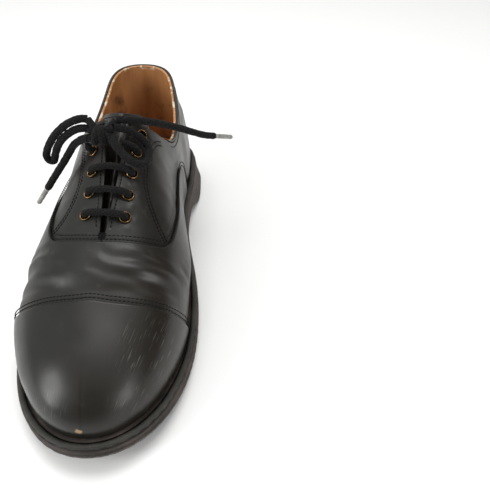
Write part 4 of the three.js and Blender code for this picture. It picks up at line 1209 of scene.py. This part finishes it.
def vamp_relief(x, s):
    """The stitch furrows and the creases across the ball."""
    made = groove(vamp_tree, x, s)
    for line, depth, width in CREASES:
        made += valley(x, s, line, depth, width)
    flex = smooth(s, 190, 200) * (1 - smooth(s, 222, 230))
    return made + 0.05 * soft_noise(x * 0.45, s, 11, 12) * flex + 0.07 * soft_noise(x, s, 5, 30)


panel("vamp_leather_upper", VAMP_LEATHER, "black_leather", "vamp", vamp_curve,
      both_sides(VAMP_RIM, VAMP_RIM_LATERAL), 420, EDGE + spread(0.95, 5, 0.3), [0, 0.5], 56,
      tucked(vamp_low), vamp_high, vamp_relief)
sew("vamp_stitching", vamp_rows)

# ------------------------------------------------------------------ quarters
BACK_GAP = 0.0004  # half the back seam's width, as an outline parameter
TOPLINE_PARAM = param_of(TOPLINE_END)
quarter_top = in_turn((0.42, topline(1, BACK_GAP, TOPLINE_PARAM)), (0.1, through(FACING_TOP)),
                      (0.48, facing_edge(FACING_TOP[3][1], FACING_END)))
quarter_foot = in_turn((0.3, feather(1, BACK_GAP, param_of(92))), (0.7, through(WING_UNDER)))
HOLE_RADIUS = 3.1


def quarter_low(x, s, _):
    """The underside of a quarter, lifted over the heel counter."""
    _, u = ring_of(x, s)
    over = (1 - smooth(u, 0.265, 0.305)) * (1 - smooth(on_last(x, s)[..., 2], 67, 76))
    return mix(UNDER_LEATHER, OVER_COUNTER, over)


def quarter_high(x, s, d):
    return quarter_low(x, s, d) + LEATHER


def eyelet_frame(side, index):
    x, s = EYELETS[index]
    return axes_at(on_last(side * x, s), normal_at(side * x, s))


def punch(piece, side):
    """Round holes through a layer at every eyelet of one side."""
    cutters = []
    for index in range(len(EYELETS)):
        profile = [(0.01, -7), (HOLE_RADIUS, -7), (HOLE_RADIUS, 7), (0.01, 7)]
        p, f = lathe(profile, eyelet_frame(side, index), 32)
        cutters.append((p, f, np.zeros((len(p), 2))))
    p, f, _ = joined(cutters)
    mesh = bpy.data.meshes.new("cutter")
    mesh.from_pydata((p * MM).tolist(), [], f)
    work = bmesh.new()
    work.from_mesh(mesh)
    bmesh.ops.remove_doubles(work, verts=work.verts, dist=3e-5)
    bmesh.ops.recalc_face_normals(work, faces=work.faces)
    work.to_mesh(mesh)
    work.free()
    cutter = bpy.data.objects.new("cutter", mesh)
    SCENE.collection.objects.link(cutter)
    change = piece.modifiers.new("holes", "BOOLEAN")
    change.object, change.operation, change.solver = cutter, "DIFFERENCE", "EXACT"
    bpy.context.view_layer.update()
    cut = piece.evaluated_get(bpy.context.evaluated_depsgraph_get())
    cut = bpy.data.meshes.new_from_object(cut)
    piece.modifiers.clear()
    piece.data = cut
    bpy.data.objects.remove(cutter)
    for polygon in piece.data.polygons:
        polygon.use_smooth = True


def around_eyelets(side, x, s):
    """Leather dished by each eyelet and puckered beside it."""
    made = np.zeros_like(x)
    for index, (ex, es) in enumerate(EYELETS):
        g, h = metric(side * ex, es)
        dx, ds = (x - side * ex) * g, (s - es) * h
        away = np.hypot(dx, ds)
        angle = np.arctan2(ds, dx * side)
        pucker = np.cos(5 * angle + index) * np.exp(-((away - 6.5) / 2) ** 2) * 0.05
        outward = 1 + 1.2 * (np.cos(angle) > 0)
        made += -0.3 * np.exp(-((away / 5) ** 4)) + pucker * outward
    return made


def make_quarter(name, side, stay):
    edge = on_side(side, in_turn((0.17, through(FACING_TOP)),
                                 (0.83, facing_edge(FACING_TOP[3][1], SLIT_END - 3))))
    top = on_side(side, topline(1, BACK_GAP, TOPLINE_PARAM))
    rows, lines = [], []
    for curve, distances, start, end in ((edge, [-EDGE_ROW * side], 0.09, 0.99),
                                         (top, [-EDGE_ROW * side], 0.01, 0.93),
                                         (through(stay), STAY_ROWS, 0.02, 0.985)):
        made = seam_rows(curve, distances, quarter_height(curve), start, end)
        rows += made[0]
        lines += made[1]
    tree = tree_of(lines)

    def relief(x, s):
        made = groove(tree, x, s) + around_eyelets(side, x, s)
        pull = smooth(s, 120, 135) * (1 - smooth(s, 175, 190))
        return made + 0.16 * soft_noise(x * 1.3, s * 0.6, 21, 26) + 0.1 * pull * soft_noise(
            x * 0.6, s, 27, 12)

    piece = panel("quarter_leather_" + name, QUARTER_LEATHER, "black_leather", "quarter_" + name,
                  on_side(side, quarter_top), on_side(side, quarter_foot), 460,
                  EDGE + spread(1.05, 4.3, 0.36) + spread(4.8, 19, 0.62), [0, 0.4], 40,
                  quarter_low, quarter_high, relief)
    punch(piece, side)
    sew("quarter_stitching_" + name, rows)


def quarter_height(curve):
    """Where a stitch lies on a quarter: just under its surface."""
    x, s = curve(np.array([0.5]))
    return float(quarter_high(x, s, None)[0]) - 0.1


def bar_tack():
    """Five threads side by side across the foot of the slit."""
    s = SLIT_END - 0.6 + 0.75 * np.arange(5)
    x = np.zeros(5)
    across = on_last(x + 1, s) - on_last(x - 1, s)
    across /= np.linalg.norm(across, axis=1, keepdims=True)
    height = quarter_high(x, s, None) + 0.05
    points, faces = stitch_row([(off(x, s, height), across, normal_at(x, s))], 5.0, 0.38, 0)
    add_mesh("bar_tack_stitching", points, faces, THREAD)


make_quarter("medial", 1, STAY_MEDIAL)
make_quarter("lateral", -1, STAY_LATERAL)
bar_tack()

# ------------------------------------------------------------------ linings
STAY_OUTER = [[22.4, 118.5], [26.6, 128], [27.4, 140], [28, 160], [27.6, 182], [23, 192],
              [11, 201], [1.6, 203]]
stay_top = [[x + 1.2, s + 1] for x, s in FACING_TOP]
stay_inner = in_turn((0.14, through(stay_top)),
                     (0.86, facing_edge(FACING_TOP[3][1] + 1, 203, 1.2)))
for name, side in SIDES:
    punch(panel("facing_lining_leather_" + name, TAN, "tan_lining", "facing_lining_" + name,
                on_side(side, stay_inner), on_side(side, through(STAY_OUTER)), 160, EDGE, EDGE,
                26, flat(LINING[0]), flat(LINING[1]), round_off=0.35), side)

LINING_REAR = [[43.3, 133], [32, 131], [28.6, 136], [29, 160], [28.6, 182], [24, 193],
               [12, 202], [0, 204.5]]
LINING_RIM = [[45.2, 139], [47, 147], [49.5, 158], [53.5, 178], [55.5, 203]]


def reversed_curve(curve):
    return lambda f: curve(1 - np.asarray(f, float))


lining_rim = in_turn((0.25, on_side(-1, through(LINING_RIM))), (0.5, cap_rim(0.65)),
                     (0.25, reversed_curve(through(LINING_RIM))))
panel("vamp_lining_cloth", TEXTILE, "textile", "vamp_lining", both_sides(LINING_REAR),
      lining_rim, 160, EDGE, EDGE, 30, flat(LINING[0]), flat(LINING[1]), round_off=0.35)


def mark_edge(piece, reach):
    """An attribute that is 1 at the topline and 0 a reach below it."""
    count = 200
    co = np.zeros(len(piece.data.vertices) * 3)
    piece.data.vertices.foreach_get("co", co)
    line = []
    for side in (-1, 1):
        x, s = topline(side, 0, TOPLINE_PARAM, 2.0)(np.linspace(0, 1, count))
        line.append(off(x, s, np.full(count, -3.5)))
    gap = distances_to(search_tree(np.concatenate(line)), co.reshape(-1, 3) / MM)
    layer = piece.data.attributes.new("edge", "FLOAT", "POINT")
    layer.data.foreach_set("value", np.clip(1 - gap / reach, 0, 1).astype(np.float32))


quarter_lining = panel(
    "quarter_lining_leather", TAN_EDGE, "tan_lining", "quarter_lining",
    round_heel(lambda side, f: topline(side, 0, param_of(116), 0.6)(f)),
    round_heel(lambda side, f: feather(side, 0, param_of(131))(f)), 300,
    EDGE + spread(1.1, 6, 0.5), [0, 0.4], 40, flat(LINING[0]), flat(LINING[1]),
    lambda x, s: 0.06 * soft_noise(x, s, 8, 18), round_off=0.4)
mark_edge(quarter_lining, 5.0)


# ------------------------------------------------------------------ topline
ROLL_SIDES = 16


def sweep(name, across, places, look, replaces=()):
    """A closed section carried round the topline; across gives (distance out, height) pairs."""
    x, s = places
    out = normal_at(x, s)
    spine = np.clip(s, HEEL_CENTRE, TOE_CENTRE)
    root = on_last(x, s)
    up = on_last(x * 0.94, spine + (s - spine) * 0.94) - root
    up /= np.linalg.norm(up, axis=-1, keepdims=True)
    ends = np.minimum(np.arange(len(x)), np.arange(len(x))[::-1])
    shrink = np.clip(ends / 6, 0.05, 1) ** 0.5
    middle_d = np.mean([d for d, _ in across])
    middle_h = np.mean([h for _, h in across])
    rings = []
    for d, h in across:
        dd = middle_d + (d - middle_d) * shrink
        hh = middle_h + (h - middle_h) * shrink
        rings.append(root + out * dd[:, None] + up * hh[:, None])
    points = np.stack(rings, 1)
    return add_mesh(name, points.reshape(-1, 3), tube_faces(*points.shape[:2]), look,
                    replaces=replaces)


def oval(d0, h0, rd, rh):
    """A squarish oval section, as (distance out, height) points."""
    turns = [2 * math.pi * k / ROLL_SIDES for k in range(ROLL_SIDES)]
    return [(d0 + rd * squarish(math.cos(t), 0.8), h0 + rh * squarish(math.sin(t), 0.8))
            for t in turns]


def topline_places(steps):
    i = np.arange(-steps, steps + 1)
    side = np.where(i < 0, -1, 1)
    u = np.abs(i) / steps * (TOPLINE_PARAM - 0.02)
    return at_height(side, u, TOPLINE_Z(station_of(u)))


TOP_PLACES = topline_places(170)
sweep("topline_roll", oval(-1.5, 1.5, 0.95, 0.78), TOP_PLACES, QUARTER_LEATHER,
      ["topline_binding"])
lining_roll = sweep("topline_lining_edge", oval(-3.6, 1.35, 0.98, 0.8), TOP_PLACES, TAN_EDGE)
mark_edge(lining_roll, 6.0)

# ------------------------------------------------------------------ tongue
TONGUE_TOP, TONGUE_CROWN, TONGUE_BASE_TOP = -10.3, 4.6, -4.9
TONGUE_FRONT = (13, 219)
TONGUE_TIP = [[20.2, 116], [19.4, 108.5], [15.5, 110], [11, 117.5], [6, 123.6], [0, 126.6]]
TONGUE_THICK, TONGUE_LINING, UNDER_TONGUE = 1.3, 0.9, 1.2


def tongue_top(x, s):
    """How far in the tongue lies, crowned where it fills the slit."""
    crown = mix(-1.2, TONGUE_CROWN, smooth(s, 127, 168))
    low = TONGUE_TOP + crown * np.exp(-((x / 2.8) ** 2))
    return mix(low, TONGUE_BASE_TOP, smooth(s, 191, 204))


def tongue_tip(trim):
    def curve(f):
        x, s = both_sides(TONGUE_TIP)(f)
        return x * (1 - trim / 20), s + trim

    return curve


def tongue_front(trim):
    half, station = TONGUE_FRONT

    def curve(f):
        f = np.asarray(f, float)
        return (2 * f - 1) * (half - trim), np.full_like(f, station - trim)

    return curve


def tongue_relief(x, s):
    """Cross wrinkles from being laced down, sharpest in the slit."""
    slit = np.exp(-((x / 7) ** 2))
    wrinkle = np.abs(soft_noise(x * 0.9, s * 1.7, 17, 13)) - 0.5
    return 0.3 * wrinkle * slit * (1 - smooth(s, 190, 204)) + 0.08 * soft_noise(x, s, 19, 20)


tongue_edge = beside(tongue_tip(0), EDGE_ROW, 300, 0.06, 0.94)
tongue_rows = [even(*tongue_edge, lambda x, s: tongue_top(x, s) - 0.05, PITCH)]
panel("tongue_leather_top", TONGUE_LEATHER, "black_leather", "tongue", tongue_tip(0),
      tongue_front(0), 110, EDGE + spread(1.1, 5, 0.4), [0, 0.5], 150,
      lambda x, s, d: tongue_top(x, s) - TONGUE_THICK, lambda x, s, d: tongue_top(x, s),
      tongue_relief, body="tongue")
sew("tongue_stitching", tongue_rows, "tongue")
TONGUE_LOW = TONGUE_THICK + UNDER_TONGUE
panel("tongue_lining_cloth", TEXTILE, "textile", "tongue_lining", tongue_tip(0.5),
      tongue_front(0.5), 70, EDGE, EDGE, 80,
      lambda x, s, d: tongue_top(x, s) - TONGUE_LOW - TONGUE_LINING,
      lambda x, s, d: tongue_top(x, s) - TONGUE_LOW, None, 0.35, body="tongue")

# ------------------------------------------------------------------ eyelets
FLANGE, BARREL, BORE = 3.6, 2.9, 2.55
EYELET_TOP, EYELET_BOTTOM = -0.6, -5.1


def make_eyelets():
    rim = [(BORE, EYELET_BOTTOM - 0.2), (BORE, EYELET_TOP - 0.4), (BORE + 0.08, EYELET_TOP + 0.25),
           (BORE + 0.25, EYELET_TOP + 0.55), (BORE + 0.5, EYELET_TOP + 0.68),
           (BORE + 0.75, EYELET_TOP + 0.58), (FLANGE - 0.12, EYELET_TOP + 0.3),
           (FLANGE, EYELET_TOP + 0.02), (FLANGE - 0.2, EYELET_TOP - 0.02), (BARREL, EYELET_TOP),
           (BARREL, EYELET_BOTTOM), (BARREL + 0.6, EYELET_BOTTOM - 0.1),
           (BARREL + 0.7, EYELET_BOTTOM - 0.35), (BARREL + 0.4, EYELET_BOTTOM - 0.6),
           (BARREL, EYELET_BOTTOM - 0.55)]
    for name, side in SIDES:
        for index in range(len(EYELETS)):
            p, f = lathe(rim, eyelet_frame(side, index), 48)
            which = f"eyelet_{name}_{index + 1}"
            add_mesh("brass_" + which, p, f, BRASS, replaces=[which])


make_eyelets()

# ------------------------------------------------------------------ lacing and knot
BAR_HEIGHT, RUN_DEPTH = 2.3, -7.8


def rounded(points, reach):
    """A polyline with its corners rounded off."""
    path = [points[0]]
    for i in range(1, len(points) - 1):
        corner = points[i]
        ends = []
        for other in (points[i - 1], points[i + 1]):
            leg = other - corner
            far = np.linalg.norm(leg)
            ends.append(corner + leg / far * min(reach, far * 0.48))
        for t in np.linspace(0, 1, 9):
            path.append(ends[0] * (1 - t) ** 2 + corner * 2 * t * (1 - t) + ends[1] * t**2)
    path.append(points[-1])
    return np.array(path)


def hole(side, number, going_in):
    """The lace through an eyelet, down or up."""
    x, s = EYELETS[number - 1]
    ends = [off(side * x, s, BAR_HEIGHT), off(side * x, s, RUN_DEPTH)]
    return ends if going_in else ends[::-1]


def bar(number, from_side):
    """The lace across the slit between two eyelets."""
    s = EYELETS[number - 1][1]
    places = [off(x, s, BAR_HEIGHT + 0.3) for x in (-4.6, 0, 4.6)]
    return places if from_side < 0 else places[::-1]


def make_lacing():
    """The lace held by the eyelets, as one length."""
    route = [off(3.2, 148.4, 3.6), off(6.4, 148.4, 3.4),
             *hole(1, 4, True), off(11.4, 161, RUN_DEPTH), *hole(1, 2, False), *bar(2, 1),
             *hole(-1, 2, True), off(-8.5, 180.6, RUN_DEPTH), *hole(-1, 1, False), *bar(1, -1),
             *hole(1, 1, True), off(5.2, 175, RUN_DEPTH), *hole(1, 3, False), *bar(3, 1),
             *hole(-1, 3, True), off(-9, 154.6, RUN_DEPTH), *hole(-1, 4, False),
             off(-9.6, 147.6, 3.4), off(-8.8, 146.6, 4.2)]
    path = even_path(rounded(route, 3.2), LACE_STEP)
    for _ in range(6):
        path[1:-1] = (path[:-2] + path[1:-1] * 2 + path[2:]) / 4
    points, faces, uv = braid(path, LACE_HELD)
    add_mesh("braided_lacing", points, faces, LACE, replaces=["lacing"], uv=uv)


make_lacing()


KNOT_CENTRE, KNOT_STRAND, KNOT_WRAP = np.array([-1.0, -2.2, 111.9]), 4.8, 4.6


def make_knot():
    """The bow's knot: three strands drawn through a lace wound once round them."""
    strands = [
        [[-8.4, 5.6, 118.2], [-4.6, 1.8, 115.6], [-0.6, -1.6, 113.6], [3, -3.4, 112.4],
         [5.6, -4.3, 111.7]],
        [[-8.4, 3.3, 113.2], [-4.4, 0.4, 112.2], [-0.6, -1.4, 110.9], [3.4, -0.6, 112.8],
         [7.4, 0.6, 115.6]],
        [[-7.7, -0.9, 109.4], [-3.8, -2.6, 109.2], [0.2, -2.2, 110.4], [4.4, 1.6, 114.4],
         [8.4, 5.2, 118]],
    ]
    parts = [braid(smooth_path(route, LACE_STEP)[0], KNOT_STRAND) for route in strands]
    for shift, tilt, start, end in ((-2.1, 0.35, 250, -60), (2.0, -0.25, 235, -75)):
        path = []
        for turn in np.radians(np.linspace(start, end, 40)):
            lift = np.array([tilt * 3.4 * math.sin(turn) + shift, 3.9 * math.cos(turn),
                             3.7 * math.sin(turn)])
            path.append(KNOT_CENTRE + lift)
        parts.append(braid(even_path(np.array(path), LACE_STEP), KNOT_WRAP))
    points, faces, uv = joined(parts)
    add_mesh("braided_knot", points, faces, LACE, replaces=["lace_knot"], uv=uv)


make_knot()

# ------------------------------------------------------------------ hidden CAD nodes
for node, look in (("forepart_filler", CORK), ("insole_board", BOARD), ("steel_shank", STEEL),
                   ("toe_puff", STIFFENER), ("heel_counter", STIFFENER)):
    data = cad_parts[node].data
    data.materials.clear()
    data.materials.append(look)


# ------------------------------------------------------------------ floor and light
FLOOR_HALF = 4.0  # metres


def make_stage():
    mesh = bpy.data.meshes.new("floor")
    corners = ((-1, -1), (1, -1), (1, 1), (-1, 1))
    mesh.from_pydata([(x * FLOOR_HALF, y * FLOOR_HALF, 0) for x, y in corners], [],
                     [(0, 1, 2, 3)])
    look = Look("pale_floor")
    look.set(Base_Color=rgb(246, 246, 245), Roughness=0.6)
    mesh.materials.append(look.material)
    floor = bpy.data.objects.new("floor", mesh)
    SCENE.collection.objects.link(floor)


def make_world():
    """A white studio, dimmer at the horizon, dark behind the camera and by the medial side."""
    world = bpy.data.worlds.new("studio")
    SCENE.world = world
    world.use_nodes = True
    sky = Wiring(world.node_tree)
    background = sky.tree.nodes["Background"]
    direction = sky.node("TexCoord").outputs["Generated"]
    height = sky.node("SeparateXYZ", {0: direction}).outputs[2]
    light = sky.node("MapRange", {"Value": height, "From Min": -0.1, "From Max": 0.8,
                                  "To Min": 0.42, "To Max": 0.82}).outputs[0]
    for towards, rim, full, least in (((0.03, -0.77, 0.64), 0.80, 0.97, 0.12),
                                      ((0.93, 0.22, 0.3), 0.76, 0.93, 0.2)):
        facing = sky.node("VectorMath", {0: direction, 1: towards}, operation="DOT_PRODUCT")
        dark = sky.between(facing.outputs["Value"], rim, full, 1.0, least)
        light = sky.maths("MULTIPLY", light, dark)
    background.inputs["Color"].default_value = (1, 1, 1, 1)
    sky.put(background.inputs["Strength"], light)


def softbox(name, where, target, size, strength):
    """A soft rectangular lamp; places and sizes are metres, strength is watts."""
    data = bpy.data.lights.new(name, "AREA")
    data.shape = "RECTANGLE"
    data.size, data.size_y = size
    data.energy = strength
    lamp = bpy.data.objects.new(name, data)
    aim = Vector(target) - Vector(where)
    lamp.rotation_euler = aim.to_track_quat("-Z", "Y").to_euler()
    lamp.location = where
    SCENE.collection.objects.link(lamp)


make_stage()
make_world()
softbox("top_light", (0.0, 0.25, 1.3), (0, 0, 0.05), (0.9, 0.6), 9)
softbox("left_light", (-0.9, -0.5, 0.5), (0, -0.1, 0.04), (0.3, 0.7), 6)
softbox("right_light", (0.85, -0.7, 0.42), (0, -0.1, 0.04), (0.3, 0.6), 4)
SCENE.view_settings.view_transform = "Standard"
